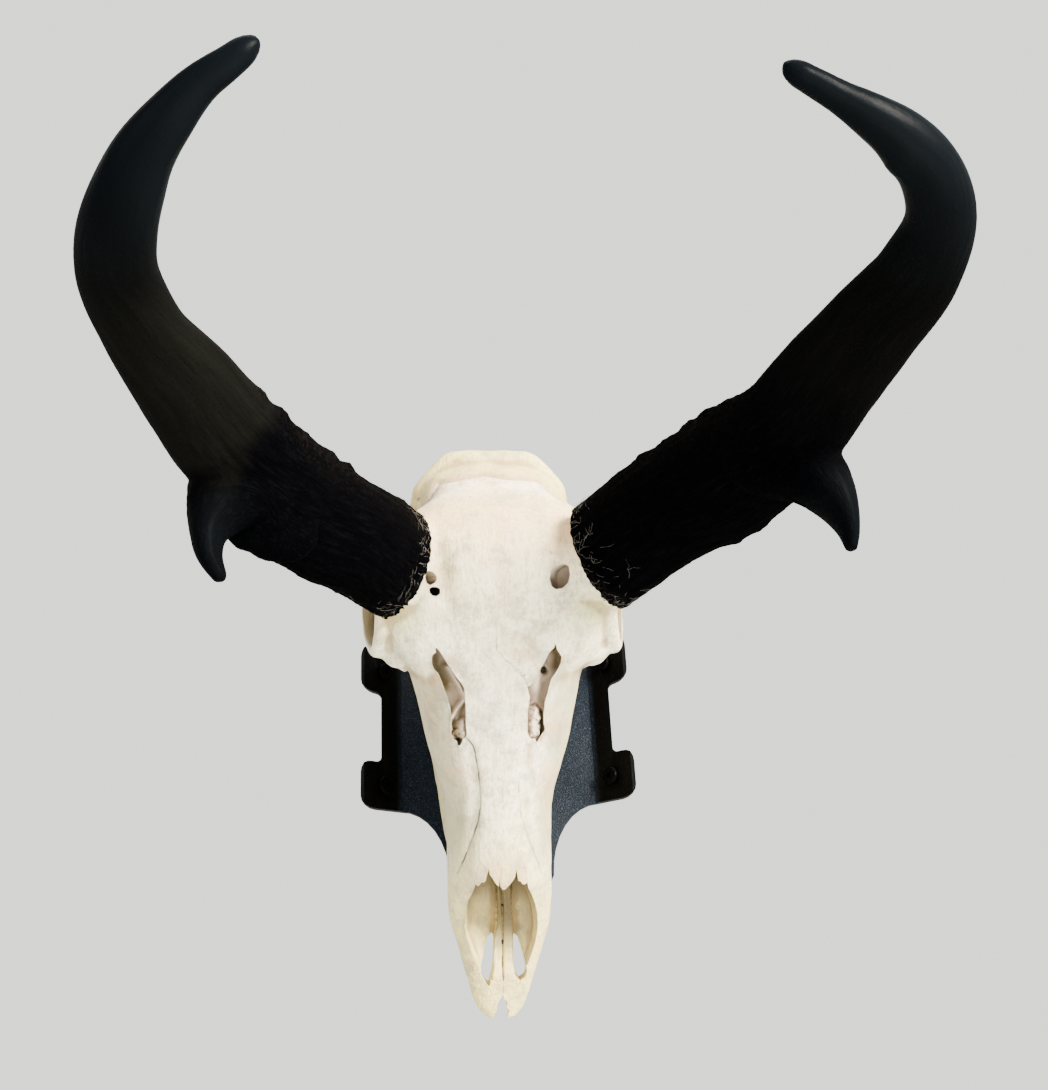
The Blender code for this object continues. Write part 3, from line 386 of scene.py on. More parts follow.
def coordinates(mesh):
    """x, s, h in millimetres, and the same three parts of the normal, for every vertex."""
    found = []
    for source, scale in (("co", 1 / MM), ("normal", 1.0)):
        flat = np.empty(len(mesh.vertices) * 3, dtype=np.float32)
        mesh.vertices.foreach_get(source, flat)
        flat = flat.reshape(-1, 3) * scale
        found.append((flat[:, 0], -flat[:, 2], -flat[:, 1]))
    return found


def set_coordinates(mesh, x, s, h):
    flat = np.stack((x, -h, -s), axis=1).astype(np.float32) * MM
    mesh.vertices.foreach_set("co", flat.ravel())
    mesh.update()


def line_distance(x, s, line):
    """How far each point lies from a line of joined points."""
    best = np.full(len(x), 1e6)
    for (ax, ay), (bx, by) in zip(line, line[1:]):
        dx, dy = bx - ax, by - ay
        t = np.clip(((x - ax) * dx + (s - ay) * dy) / (dx * dx + dy * dy), 0, 1)
        best = np.minimum(best, np.hypot(x - ax - t * dx, s - ay - t * dy))
    return best


def inside(x, s, outline):
    """True for each point that lies within a closed outline."""
    odd = np.zeros(len(x), dtype=bool)
    for (ax, ay), (bx, by) in zip(outline, outline[1:] + outline[:1]):
        if ay != by:
            odd ^= ((ay > s) != (by > s)) & (x < (bx - ax) * (s - ay) / (by - ay) + ax)
    return odd


def cloud(x, s, h, size, seed=0.0):
    """Smooth noise from -1 to 1 with features of one size in millimetres."""
    return np.array([noise.noise(Vector(p)) for p in
                     zip(x / size + seed, s / size + 2 * seed, h / size - seed)])


def step(low, high, value):
    t = np.clip((value - low) / (high - low), 0, 1)
    return t * t * (3 - 2 * t)


def near_marks(x, s, reach):
    """True near a crack or a spot."""
    close = np.zeros(len(x), dtype=bool)
    for line, half, _ in CRACKS:
        close |= line_distance(x, s, line) < reach + half
    for sx, ss, radius, _ in SPOTS:
        close |= np.hypot(x - sx, s - ss) < reach + radius
    return close


def refine(item, reach):
    """Splits the mesh on the front of the bone near its cracks and spots."""
    mesh = item.data
    (x, s, _), (_, _, up) = coordinates(mesh)
    close = near_marks(x, s, reach) & (up > 0.1)
    work = bmesh.new()
    work.from_mesh(mesh)
    edges = [e for e in work.edges if close[e.verts[0].index] and close[e.verts[1].index]]
    bmesh.ops.subdivide_edges(work, edges=edges, cuts=1, use_grid_fill=True)
    bmesh.ops.triangulate(work, faces=[f for f in work.faces if len(f.verts) > 4])
    work.to_mesh(mesh)
    work.free()


def paint(mesh, name, values):
    """Stores one number per vertex for the material."""
    layer = mesh.attributes.new(name, "FLOAT", "POINT")
    layer.data.foreach_set("value", np.clip(values, 0, 1).astype(np.float32))


# Carving: the lip under the crest, soft hollows on the brow and the face
(x, s, h), (nx, ns, up) = coordinates(skull.data)
front = np.clip(up, 0, 1)
side_x = np.abs(x)
crest_gap = line_distance(x, s, CREST_LINE)
push = -1.5 * np.exp(-(crest_gap / 1.2) ** 2) * step(0.0, 0.4, up)
push += 0.9 * cloud(x, s, h, 30) + 0.35 * cloud(x, s, h, 11, 5.7) + 0.16 * cloud(x, s, h, 6, 3.1)
for line, sigma, depth in ((((36, 106), (35.5, 120), (33, 135), (31, 150)), 4.5, -1.3),
                           (((14.5, 148), (12.5, 170), (15, 192), (19.5, 210)), 3.0, -1.0),
                           (((30, 52), (38, 66), (44, 76)), 7.0, -0.9),
                           (((24, 225), (23, 240), (19, 255)), 2.0, 0.5)):
    push += depth * np.exp(-(line_distance(side_x, s, line) / sigma) ** 2) * front
push -= 3.2 * np.exp(-((x + 27) / 5.5) ** 2 - ((s - 66) / 10) ** 2) * front
push -= 3.2 * np.exp(-((x - 26.5) / 6.5) ** 2 - ((s - 66) / 10) ** 2) * front
push -= 0.3 * np.exp(-(line_distance(side_x, s, ((27, 74), (25, 86), (21, 92))) / 3) ** 2) * front
face_ridge = line_distance(side_x, s, ((40, 98), (37, 112), (32.5, 135), (28, 160)))
push += 0.9 * np.exp(-(face_ridge / 2.6) ** 2) * front
push += 0.7 * np.exp(-(x / 14) ** 2) * step(110, 130, s) * step(216, 200, s) * front
set_coordinates(skull.data, x + nx * push, s + ns * push, h + up * push)

# The openings are cut last, so that their edges stay thin and crisp
whole_skin = BVHTree.FromObject(skull, bpy.context.evaluated_depsgraph_get())
work = bmesh.new()
well(work, NOSE_OPENING, ((NOSE_FLOOR, 0.9, 0), (30, 0.97, 0), (40, 1, 0), (90, 1, 0)))
for outline in TEAR_SLOTS:
    well(work, outline, ((TEAR_SLOT_FLOOR, 1, 0), (95, 1, 0)))
for outline, shift in BROW_HOLES:
    shift = math.copysign(shift, outline[0][0])
    well(work, outline, ((BROW_HOLE_FLOOR, 1, shift), (75, 1, 0.2 * shift), (78, 1, 0), (95, 1, 0)))
cut_away(skull, work)
work = bmesh.new()
for outline in PALATE_SLOTS:
    well(work, outline, ((5, 1, 0), (40, 1, 0)))
well(work, CHIN_NOTCH, ((5, 1, 0), (40, 1, 0)))
cut_away(skull, work)


def densify(item, zone, longest):
    """Splits long edges inside a zone until they are short, so that it can be shaped."""
    work = bmesh.new()
    work.from_mesh(item.data)
    for _ in range(9):
        spots = np.array([tuple(v.co) for v in work.verts]) / MM
        close = zone(spots[:, 0], -spots[:, 2], -spots[:, 1])
        work.verts.index_update()
        bmesh.ops.triangulate(work, faces=[f for f in work.faces
                                           if len(f.verts) > 3 and all(close[v.index] for v in f.verts)])
        edges = [e for e in work.edges if close[e.verts[0].index] and close[e.verts[1].index]
                 and e.calc_length() > longest * MM]
        if not edges:
            break
        bmesh.ops.subdivide_edges(work, edges=edges, cuts=1)
    bmesh.ops.triangulate(work, faces=[f for f in work.faces if len(f.verts) > 4])
    work.to_mesh(item.data)
    work.free()


def within(x, s, outline, margin):
    """True inside a closed outline, or no further than the margin outside it."""
    return inside(x, s, outline) | (line_distance(x, s, outline + outline[:1]) < margin)


FACE_TOP = (tuple(row[0] for row in FACE), tuple(row[2] for row in FACE))


def in_slots(x, s, h):
    near = within(x, s, TEAR_SLOTS[0], 0.6) | within(x, s, TEAR_SLOTS[1], 0.6)
    return near & (h > TEAR_SLOT_FLOOR - 1) & (h < 76)


def in_nose(x, s, h):
    return within(x, s, NOSE_OPENING, 0.5) & (h > NOSE_FLOOR - 0.5) & (h < np.interp(s, *FACE_TOP) + 1)


densify(skull, in_slots, 0.8)
densify(skull, in_nose, 0.9)


def dent(value, line, x, s, width):
    return value * np.exp(-(line_distance(x, s, line) / width) ** 2)


def slot_floor(x, s, h):
    """How high the bone lies inside the two tear slots: smooth pockets above, broken spongy bone below."""
    crumb = np.abs(cloud(x, s, 0 * h, 2.6, 1.7)) * 5 + np.abs(cloud(x, s, 0 * h, 1.3, 5.3)) * 2
    left = 58 + dent(8, ((-24.8, 108.5), (-19.1, 118.3), (-17.3, 122)), x, s, 2.2)
    left += dent(8, ((-17.3, 125.3), (-20.4, 128.4), (-22.6, 132.1), (-23.7, 133.7)), x, s, 1.4)
    left += dent(2, ((-26, 118), (-24, 126)), x, s, 3) + step(134, 138, s) * (2 + crumb)
    left -= 3 * step(0.25, 0.6, cloud(x, s, 0 * h, 2.1, 8.3)) * step(134, 137, s)
    left += dent(6, ((-18.2, 135.4), (-18.5, 138.6), (-18.0, 141.8)), x, s, 1.7)
    right = 59 + dent(6, ((20.6, 110), (16, 119.5)), x, s, 3.5)
    right -= dent(12, ((22.7, 111.2), (22.9, 111.5)), x, s, 1.5)
    right += dent(3, ((19, 120), (18, 127)), x, s, 3) + step(127, 130, s) * (2 + crumb)
    right += dent(8, ((17.3, 132.2), (16.6, 137.5), (17.1, 141.8)), x, s, 2.4)
    right -= dent(3, ((15.9, 128.9), (18.1, 127.9), (20.8, 130.7), (21.0, 136), (21.4, 139.9), (20.6, 143.1)),
                  x, s, 0.7)
    right -= 3 * step(0.25, 0.6, cloud(x, s, 0 * h, 2.1, 8.3)) * step(129, 132, s)
    return np.where(x < 0, left, right)


def nose_floor(x, s, h):
    """The floor of the nose: two troughs, and between them two bars with a slit, which rise to the chin."""
    left_edge = np.interp(s, (222, 242, 250, 260, 272), (-1.2, -1.7, -3.3, -3.9, -5))
    right_edge = np.interp(s, (222, 242, 250, 260, 272), (6.0, 6.5, 6.5, 6.2, 7.5))
    slit = np.interp(s, (222, 228, 236, 250, 276), (0.5, 1.3, 1.4, 1.0, 0.5))
    bars = step(-0.7, 0.3, x - left_edge) * step(-0.7, 0.3, right_edge - x)
    groove = np.exp(-((x - slit) / 0.45) ** 2)
    flare = (np.abs(x - 1.2) / 18) ** 2.5
    troughs = 18.2 + 9 * flare + 1.5 * step(240, 225, s)
    top = np.interp(s, *FACE_TOP)
    level = troughs + bars * (24.3 - troughs) + bars * step(0.6, -0.6, x - slit) * 0.8
    level += (top - 0.4 - level) * bars * step(258, 275, s)
    return level - 1.6 * bars * groove * step(277, 270, s)


def depth_below(x, s, h, zone):
    """How far each point of a zone lies below the uncut skin, in mm."""
    deep = np.zeros(len(x))
    for k in np.flatnonzero(zone):
        touch = whole_skin.ray_cast(bone(x[k], s[k], 95), bone(0, 0, -1).normalized())[0]
        if touch:
            deep[k] = -touch.y / MM - h[k]
    return deep


def hollowness(mesh, rounds):
    """How far each vertex lies below the smoothed skin round it, in mm."""
    (x, s, h), (nx, ns, up) = coordinates(mesh)
    ends = np.empty(len(mesh.edges) * 2, dtype=np.int32)
    mesh.edges.foreach_get("vertices", ends)
    first, second = ends[::2], ends[1::2]
    links = np.bincount(ends, minlength=len(x))
    gap = np.zeros(len(x))
    for values, part in ((x, nx), (s, ns), (h, up)):
        smooth = values.astype(float)
        for _ in range(rounds):
            total = np.bincount(first, smooth[second], len(x)) + np.bincount(second, smooth[first], len(x))
            smooth = total / np.maximum(links, 1)
        gap += (smooth - values) * part
    return gap


(x, s, h), _ = coordinates(skull.data)
top = np.interp(s, *FACE_TOP) - 1.6
for zone, floor, low in ((in_slots(x, s, h), slot_floor, TEAR_SLOT_FLOOR),
                         (in_nose(x, s, h), nose_floor, NOSE_FLOOR)):
    share = np.clip((top - h) / (top - low), 0, 1)
    h = h + np.where(zone, share * (np.minimum(floor(x, s, h), top - 0.5) - low), 0)
set_coordinates(skull.data, x, s, h)
refine(skull, 1.9)
refine(skull, 0.75)

# Cracks and pits are sunk, then the bone's colours are laid down as one number each per vertex
(x, s, h), (nx, ns, up) = coordinates(skull.data)
side_x = np.abs(x)
front = step(0.1, 0.45, up)
wander = 0.35 * cloud(x, s, h, 2.4, 2.2)
crack_and_hole_shade = np.zeros(len(x))
for line, half, dark in CRACKS:
    ragged = line_distance(x + wander, s - wander, line)
    crack_and_hole_shade = np.maximum(crack_and_hole_shade, dark * step(half + 0.3, half - 0.1, ragged))
# Pits are painted dark as the shade inside them
for px, ps, radius, dark in SPOTS:
    crack_and_hole_shade = np.maximum(crack_and_hole_shade, dark * step(radius + 0.25, radius - 0.25, np.hypot(x - px, s - ps)))
crack_and_hole_shade *= front * (0.5 + 0.5 * step(-0.25, 0.3, cloud(x, s, h, 5, 9.4)))
sink = 0.5 * crack_and_hole_shade
set_coordinates(skull.data, x - nx * sink, s - ns * sink, h - up * sink)

# Painted shade: brown laid into creases and hollows that lie below the smoothed skin and along the groove
# under the crest, kept off the brow
below_brow = line_distance(side_x, s, ((30, 62), (27, 76), (22, 95)))
shade_free = np.maximum(step(14, 9, below_brow), step(50, 56, h) * (s < 78))
crease_shade = step(0.02, 0.5, hollowness(skull.data, 24)) * (up > 0) * (1 - 0.85 * shade_free)
crest_gap = line_distance(x + wander, s + 2 * wander, CREST_LINE)
crease_shade = np.maximum(crease_shade, (np.exp(-(crest_gap / 1.1) ** 2) + 0.4 * np.exp(-(crest_gap / 3.2) ** 2)) * front
                   * (0.55 + 0.45 * cloud(x, s, h, 6, 4.4)))
passage = in_nose(x, s, h) | ((side_x < 15.5) & (s > 196) & (s < 228) & (h > NOSE_FLOOR - 2))
openings = in_slots(x, s, h) | passage
for outline, _ in BROW_HOLES:
    openings |= within(x, s, outline, 9) & (h > BROW_HOLE_FLOOR - 1)
sunk = depth_below(x, s, h, openings & (h > 15))
# Painted shade: bone sunk in the tear slots, and the walls of the brow holes, take a darker grey-brown
slot = in_slots(x, s, h) * step(0.3, 1.6, sunk)
pale = np.maximum(dent(1, ((-17.3, 125.3), (-20.4, 128.4), (-22.6, 132.1), (-23.7, 133.7)), x, s, 1.3),
                  dent(1, ((-18.2, 135.4), (-18.5, 138.6), (-18.0, 143)), x, s, 1.8))
pale = np.maximum(pale, dent(1, ((17.3, 132.2), (16.6, 137.5), (17.1, 142.5)), x, s, 3.0))
brown = np.maximum(dent(1, ((-31.1, 103), (-30.8, 107.5), (-28.6, 112.4), (-25.4, 118.5)), x, s, 2.6),
                   dent(1, ((28.6, 101), (29.7, 104.3), (28.9, 109.7)), x, s, 2.6))
brown = np.maximum(brown, dent(0.75, ((-22.4, 135.4), (-22.4, 139), (-21, 142.4), (-20.2, 146)), x, s, 1.6))
brown = np.maximum(brown, dent(0.8, ((-17.3, 128), (-18.8, 131.2), (-19.9, 134.4)), x, s, 1.0))
brown = np.maximum(brown, dent(0.8, ((20.8, 130.7), (21.3, 139.9), (20.2, 144)), x, s, 0.8))
# Painted shade: the inner walls of the eye rings, and the inside of the nose towards its roof, are painted
# brown; brown also lies along lines in the tear slots
eye_depth = np.hypot(s - EYE_CENTRE[1], h - EYE_CENTRE[2])
eye_wall = step(EYE_RADIUS - 0.5, EYE_RADIUS - 3.0, eye_depth) * step(46, 50, side_x) * step(78, 70, side_x)
nose_inside = passage * step(0.4, 3, np.maximum(sunk, np.interp(s, *FACE_TOP) - 16 - h))
on_bars = step(-2.6, -1.6, x) * step(7.4, 6.4, x) * step(23, 24, h)
brow_inside = []
for outline, shift in BROW_HOLES:
    slide = math.copysign(shift, outline[0][0]) * np.clip((78 - h) / (78 - BROW_HOLE_FLOOR), 0, 1)
    brow_inside.append(within(x - slide, s, outline, 0.5) * step(0.3, 1.2, sunk) * (h > BROW_HOLE_FLOOR - 1))
paint(skull.data, "slot", np.maximum(slot, np.maximum(0.8 * brow_inside[0], 0.9 * brow_inside[2])))
# Pale spongy bone in the slots, and a pinkish grey painted as shade on the right brow hole's wall
paint(skull.data, "sponge_and_hole_shade", np.maximum(slot * pale, 0.45 * brow_inside[2]))
# Painted shade: the side planes of the face, turned to left and right, are made darker olive
paint(skull.data, "side_shade", np.maximum(0.8 * step(0.3, 0.75, -nx), 0.85 * step(0.35, 0.8, nx)) * (up > -0.2)
      * step(92, 112, s) * step(225, 190, s) * (1 - slot))
nose_brown = nose_inside * np.where(on_bars > 0.5, step(266, 236, s), step(246, 213, s))
paint(skull.data, "hollow", np.maximum(np.maximum(eye_wall, slot * brown), nose_brown))
# Painted shade: black inside the small left brow hole, in a crescent low in each other brow hole and in the
# deep pit of the right tear slot
crack_and_hole_shade = np.maximum(crack_and_hole_shade, brow_inside[1])
crack_and_hole_shade = np.maximum(crack_and_hole_shade, brow_inside[0] * dent(1, ((-34, 67.4), (-31.4, 69.2), (-29.2, 68)), x + 2, s, 1.3))
crack_and_hole_shade = np.maximum(crack_and_hole_shade, brow_inside[2]
                   * dent(1, ((24.8, 66.5), (25.6, 70.2), (28.4, 72.4)), x - 1.5, s, 2.2))
crack_and_hole_shade = np.maximum(crack_and_hole_shade, step(2.1, 1.3, np.hypot(x - 22.9, s - 111.3)) * slot)
paint(skull.data, "crack_and_hole_shade", crack_and_hole_shade)
paint(skull.data, "crease_shade", crease_shade)
paint(skull.data, "crown", step(74, 34, s) * np.maximum(step(38, 66, h), step(16, 8, s)))
crest_level = np.interp(x, *zip(*CREST_LINE))
paint(skull.data, "muzzle", np.maximum(np.maximum(step(150, 255, s), 0.8 * step(30, 5, h)),
                                       step(-0.5, 1.5, crest_level - s) * step(8, 16, h)))
paint(skull.data, "lichen", np.exp(-((side_x - 48) / 12) ** 2 - ((s - 84) / 10) ** 2)
      + 0.5 * np.exp(-((x + 22) / 16) ** 2 - ((s - 68) / 12) ** 2))
place = skull.data.attributes.new("grain", "FLOAT_VECTOR", "POINT")
place.data.foreach_set("vector", (np.stack((x, s * 0.25, h), axis=1) * MM).astype(np.float32).ravel())


def finish_item(item, *nodes, hang=True):
    """Places a finished piece, shades it smooth by angle and fixes it to the root body."""
    if hang:
        item.data.transform(SKULL_HANG)
    pick(item)
    bpy.ops.object.shade_smooth_by_angle(angle=math.radians(50))
    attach(item, "root")
    if nodes:
        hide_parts(*nodes)


def linear(code):
    """An sRGB hex colour as linear numbers."""
    parts = [int(code[k:k + 2], 16) / 255 for k in (1, 3, 5)]
    return tuple(c / 12.92 if c <= 0.04045 else ((c + 0.055) / 1.055) ** 2.4 for c in parts) + (1.0,)


def new_finish(name, **shader_values):
    """A material and its shader, with plain values set on the shader's own sockets."""
    finish = bpy.data.materials.new(name)
    finish.use_nodes = True
    for key, value in shader_values.items():
        finish.node_tree.nodes["Principled BSDF"].inputs[key.replace("_", " ")].default_value = value
    return finish


def add_node(finish, kind, inputs, **settings):
    """Adds a node with its settings, and links or sets its inputs."""
    made = finish.node_tree.nodes.new(kind)
    for key, value in settings.items():
        setattr(made, key, value)
    for key, value in inputs.items():
        if isinstance(value, bpy.types.NodeSocket):
            finish.node_tree.links.new(value, made.inputs[key])
        else:
            made.inputs[key].default_value = value
    return made


def to_shader(finish, **sources):
    shader = finish.node_tree.nodes["Principled BSDF"]
    for key, socket in sources.items():
        finish.node_tree.links.new(socket, shader.inputs[key.replace("_", " ")])


# Dry bleached bone: matt, faintly waxy, mottled in soft patches with fine pores of about 0.3 mm. The crown is
# pinkish, the forehead pale green and the muzzle creamy; creases, hollows, holes and side planes are painted
# darker as shade
old_bone = new_finish("bleached dry bone", Subsurface_Weight=0.06, Subsurface_Scale=0.003,
                      Subsurface_Radius=(1.0, 0.75, 0.5), IOR=1.5)
where = add_node(old_bone, "ShaderNodeTexCoord", {}).outputs["Object"]
grain = add_node(old_bone, "ShaderNodeAttribute", {}, attribute_name="grain").outputs["Vector"]
weights = {name: add_node(old_bone, "ShaderNodeAttribute", {}, attribute_name=name).outputs["Fac"]
           for name in ("crack_and_hole_shade", "slot", "sponge_and_hole_shade", "hollow", "crown", "muzzle", "lichen", "crease_shade", "side_shade")}
patches, mottle, streaks, broad, greys = (
    add_node(old_bone, "ShaderNodeTexNoise", {"Vector": vector, "Scale": scale, "Detail": detail,
                                              "Roughness": rough, "Distortion": bend}).outputs["Fac"]
    for vector, scale, detail, rough, bend in (
        (where, 70.0, 5.0, 0.6, 0.0), (where, 420.0, 6.0, 0.7, 0.0), (grain, 700.0, 5.0, 0.65, 0.0),
        (where, 34.0, 3.0, 0.55, 0.6), (where, 75.0, 9.0, 0.72, 0.2)))
pores = add_node(old_bone, "ShaderNodeTexVoronoi", {"Vector": where, "Scale": 520.0}).outputs["Distance"]
pore_patch, pore_mask, blush, speck, grey, streak = (
    add_node(old_bone, "ShaderNodeMapRange", {"Value": source, "From Min": low, "From Max": high,
                                              "To Max": most}).outputs[0]
    for source, low, high, most in (
        (patches, 0.5, 0.68, 1.0), (pores, 0.2, 0.08, 1.0), (broad, 0.5, 0.66, 0.6),
        (mottle, 0.42, 0.75, 0.5), (greys, 0.48, 0.66, 0.75), (streaks, 0.5, 0.72, 0.6)))
pore_mask = add_node(old_bone, "ShaderNodeMath", {0: pore_mask, 1: pore_patch},
                     operation="MULTIPLY").outputs[0]
# How strongly the painted crease shade darkens the bone
crease_shade_share = add_node(old_bone, "ShaderNodeMath", {0: weights["crease_shade"], 1: 0.62}, operation="MULTIPLY").outputs[0]
slot_tone, hollow_tone = (
    add_node(old_bone, "ShaderNodeMix", {0: share, 6: linear(dark), 7: linear(light)},
             data_type="RGBA").outputs[2]
    for share, dark, light in ((streaks, "#a08e74", "#cbbcac"), (mottle, "#473a1c", "#7b6b41")))
tone = linear("#eee5bb")
# Among these layers the side planes, creases, slot and hole walls, hollows, pits and holes are painted shade
for share, layer in ((patches, linear("#fffbe6")), (weights["lichen"], linear("#d3d396")),
                     (weights["crown"], linear("#debf8b")), (weights["muzzle"], linear("#dacb80")),
                     (weights["side_shade"], linear("#a8a178")), (blush, linear("#d0a878")),
                     (speck, linear("#a38d66")), (grey, linear("#8f886f")), (streak, linear("#a08a62")),
                     (crease_shade_share, linear("#8b6d42")), (weights["slot"], slot_tone),
                     (weights["sponge_and_hole_shade"], linear("#e0d0bf")), (weights["hollow"], hollow_tone),
                     (pore_mask, linear("#8a7148")), (weights["crack_and_hole_shade"], linear("#1e1409"))):
    tone = add_node(old_bone, "ShaderNodeMix", {0: share, 6: tone, 7: layer}, data_type="RGBA").outputs[2]
height = streaks
for source, share in ((mottle, 0.6), (greys, 0.9)):
    height = add_node(old_bone, "ShaderNodeMath", {0: source, 1: share, 2: height},
                      operation="MULTIPLY_ADD").outputs[0]
relief = add_node(old_bone, "ShaderNodeBump", {"Height": height, "Strength": 0.6, "Distance": 0.0010})
shine = add_node(old_bone, "ShaderNodeMapRange", {"Value": mottle, "To Min": 0.5, "To Max": 0.75})
to_shader(old_bone, Base_Color=tone, Roughness=shine.outputs[0], Normal=relief.outputs[0])
skull.data.materials.append(old_bone)
finish_item(skull, "skull")


# Each horn sheath is hollow keratin that grew over a bone core: hairy and fibrous at the rim, lumpy along its
# upper edge, then ever smoother, and polished glossy black on the hooked tip and the prong.

# Prong stations, as for the horns
LEFT_PRONG = ((-92, 8, 160, 9, 7), (-103, 22, 173, 21, 13), (-117.4, 40.6, 190, 15, 14),
              (-121.4, 53.2, 198, 7.8, 11), (-120, 64, 203, 4.8, 7.5), (-115.4, 73, 205, 2.4, 3.4))
RIGHT_PRONG = ((101, 3, 160, 12, 8), (113, 18, 173, 22, 13.5), (128.5, 34.5, 190, 13.6, 14),
               (135, 48.5, 198, 7.6, 11.5), (136.8, 57.5, 202, 4.4, 7.6), (136.6, 66, 205, 2.2, 3.4))
# The web of horn below the left prong: centre and radii
LEFT_WEBS = (((-107, 48.5, 173), (12, 11, 8)), ((-95, 50, 164), (15, 13.5, 9)),
             ((-103, 41, 175), (13, 14, 10)), ((-99.5, 51.5, 169), (12, 11.5, 9)),
             ((-117.5, 31, 183), (9.5, 10, 9)))
# Lumps along a horn: distance from the rim, place round it in degrees, height, length and width, in mm
LEFT_LUMPS = ((76, 176, 2.0, 5, 6), (97, 178, 1.8, 7, 6), (86, 181, 0.6, 4, 4), (142, 174, 1.9, 6, 6),
              (160, 174, 1.4, 5, 6), (120, 178, 1.0, 10, 6), (28, 184, 1.0, 12, 6), (70, 4, 1.0, 9, 5),
              (40, 350, 0.9, 9, 6))
RIGHT_LUMPS = ((40, 180, 1.2, 10, 5), (58, 178, 2.2, 6, 5), (74, 172, 1.4, 8, 5), (92, 184, 2.4, 9, 5),
               (108, 178, 1.8, 6, 5), (124, 172, 1.4, 9, 6), (82, 6, 1.6, 5, 4), (94, 0, 1.0, 4, 4),
               (300, 182, 1.3, 6, 6))
HORN_VOXEL = 0.85
HORN_GAP = 0.5


def nearest_station(points, frames, sizes, run):
    """For each point: distance along the line, place across and deep in mm, and share of the size there."""
    centres = np.array([tuple(f[0]) for f in frames]) / MM
    best = np.full(len(points), 1e9)
    chosen = np.zeros(len(points), dtype=int)
    for k, centre in enumerate(centres):
        gap = ((points - centre) ** 2).sum(axis=1)
        nearer = gap < best
        best[nearer] = gap[nearer]
        chosen[nearer] = k
    along, across, deep = (np.array([tuple(f[j]) for f in frames])[chosen] for j in (1, 2, 3))
    off = points - centres[chosen]
    a = (off * across).sum(axis=1)
    d = (off * deep).sum(axis=1)
    u = run[chosen] + (off * along).sum(axis=1)
    share = np.hypot(a / sizes[chosen, 0], d / sizes[chosen, 1])
    return u, a, d, share, sizes[chosen]


def side_crack(line, x, h):
    """A groove along a drying crack, given as seen from in front in x and h."""
    return 0.9 * np.exp(-(line_distance(x, h, line) / 0.7) ** 2)


def horn_sheath(name, side, horn, prong, lumps, webs, middle_span, brownness, horn_crack):
    """Makes one sheath in the skull's frame, with its grain and wear stored for the material."""
    rows = spread(horn, run_of(horn), 110)
    rings, frames = horn_rings(rows, 40, HORN_RIM_SLANT)
    work = bmesh.new()
    loft(work, rings)
    prong_rows = spread(prong, run_of(prong), 40)
    prong_rings, prong_frames = horn_rings(prong_rows, 28)
    loft(work, prong_rings)
    for centre, radii in webs:
        ball(work, centre, radii, 1)
    item = new_item(name, work)
    melt(item, 1.4, 3)
    seat = whole_bone()
    melt(seat, 2.4, 2)
    modify(seat, "DISPLACE", mid_level=0.0, strength=HORN_GAP * MM)
    modify(item, "BOOLEAN", operation="DIFFERENCE", solver="EXACT", object=seat)
    bpy.data.objects.remove(seat)
    melt(item, HORN_VOXEL, 1)

    mesh = item.data
    (x, s, h), (nx, ns, up) = coordinates(mesh)
    points = np.stack((x, -h, -s), axis=1)
    run = run_of(rows)
    u, a, d, share, size = nearest_station(points, frames, np.array(rows)[:, 3:5], run)
    pu, pa, pd, _, _ = nearest_station(points, prong_frames, np.array(prong_rows)[:, 3:5],
                                       run_of(prong_rows))
    on_prong = step(1.0, 1.4, share) * step(34, 56, pu)
    prong_tip = step(1.05, 1.5, share) * step(46, 72, pu)
    angle = np.degrees(np.arctan2(d / size[:, 1], a / size[:, 0])) % 360
    angle = (360 - angle) % 360 if side > 0 else (angle + 180) % 360
    girth = np.radians(angle)
    rough = step(215, 125, u) * (1 - 0.9 * prong_tip)
    fibre = cloud(8 * np.cos(girth), 8 * np.sin(girth), u / 14, 1.0, 4.0)
    fine = cloud(20 * np.cos(girth), 20 * np.sin(girth), u / 9, 1.0, 7.0)
    crumb = cloud(x, s, h, 2.6, 9.0)
    push = rough * (0.5 * fibre + 0.25 * fine + 0.2 * crumb) + 0.12 * fibre * (1 - rough)
    push -= side_crack(horn_crack, x, h)
    push += 0.5 * cloud(x, s, h, 22, 1.0) * step(280, 160, u)
    ridge = np.zeros(len(x))
    for distance, place, height, length, width in lumps:
        around = (angle - place + 180) % 360 - 180
        arc = np.radians(around) * size[:, 0]
        lump = np.exp(-((u - distance) / length) ** 2 - (arc / width) ** 2)
        push += lump * (height + 0.3 * crumb)
        ridge = np.maximum(ridge, lump)
    on_top = np.exp(-(((angle - 172 + 180) % 360 - 180) / 34) ** 2)
    ridge = np.maximum(ridge, 0.85 * on_top * step(160, 120, u) * step(8, 20, u))
    rim = step(9, 0, u)
    push += rim * (0.8 * cloud(x, s, h, 4.5, 6.0) + 0.5 * fine)
    set_coordinates(mesh, x + nx * push, s + ns * push, h + up * push)
    patchy = 10 * cloud(x, s, h, 18, 8.0)
    paint(mesh, "polish", np.maximum(step(225, 305, u + patchy), 0.4 * prong_tip))
    paint(mesh, "ridge", ridge * (1 - on_prong) * step(220, 180, u))
    paint(mesh, "middle", brownness * step(*middle_span, u + patchy) * step(300, 215, u) * (1 - prong_tip))
    paint(mesh, "rim", rim)
    mixed = np.stack((a * (1 - on_prong) + pa * on_prong, (u * (1 - on_prong) + pu * on_prong) * 0.08,
                      d * (1 - on_prong) + pd * on_prong), axis=1) * MM
    layer = mesh.attributes.new("grain", "FLOAT_VECTOR", "POINT")
    layer.data.foreach_set("vector", mixed.astype(np.float32).ravel())
    return item, rings, run


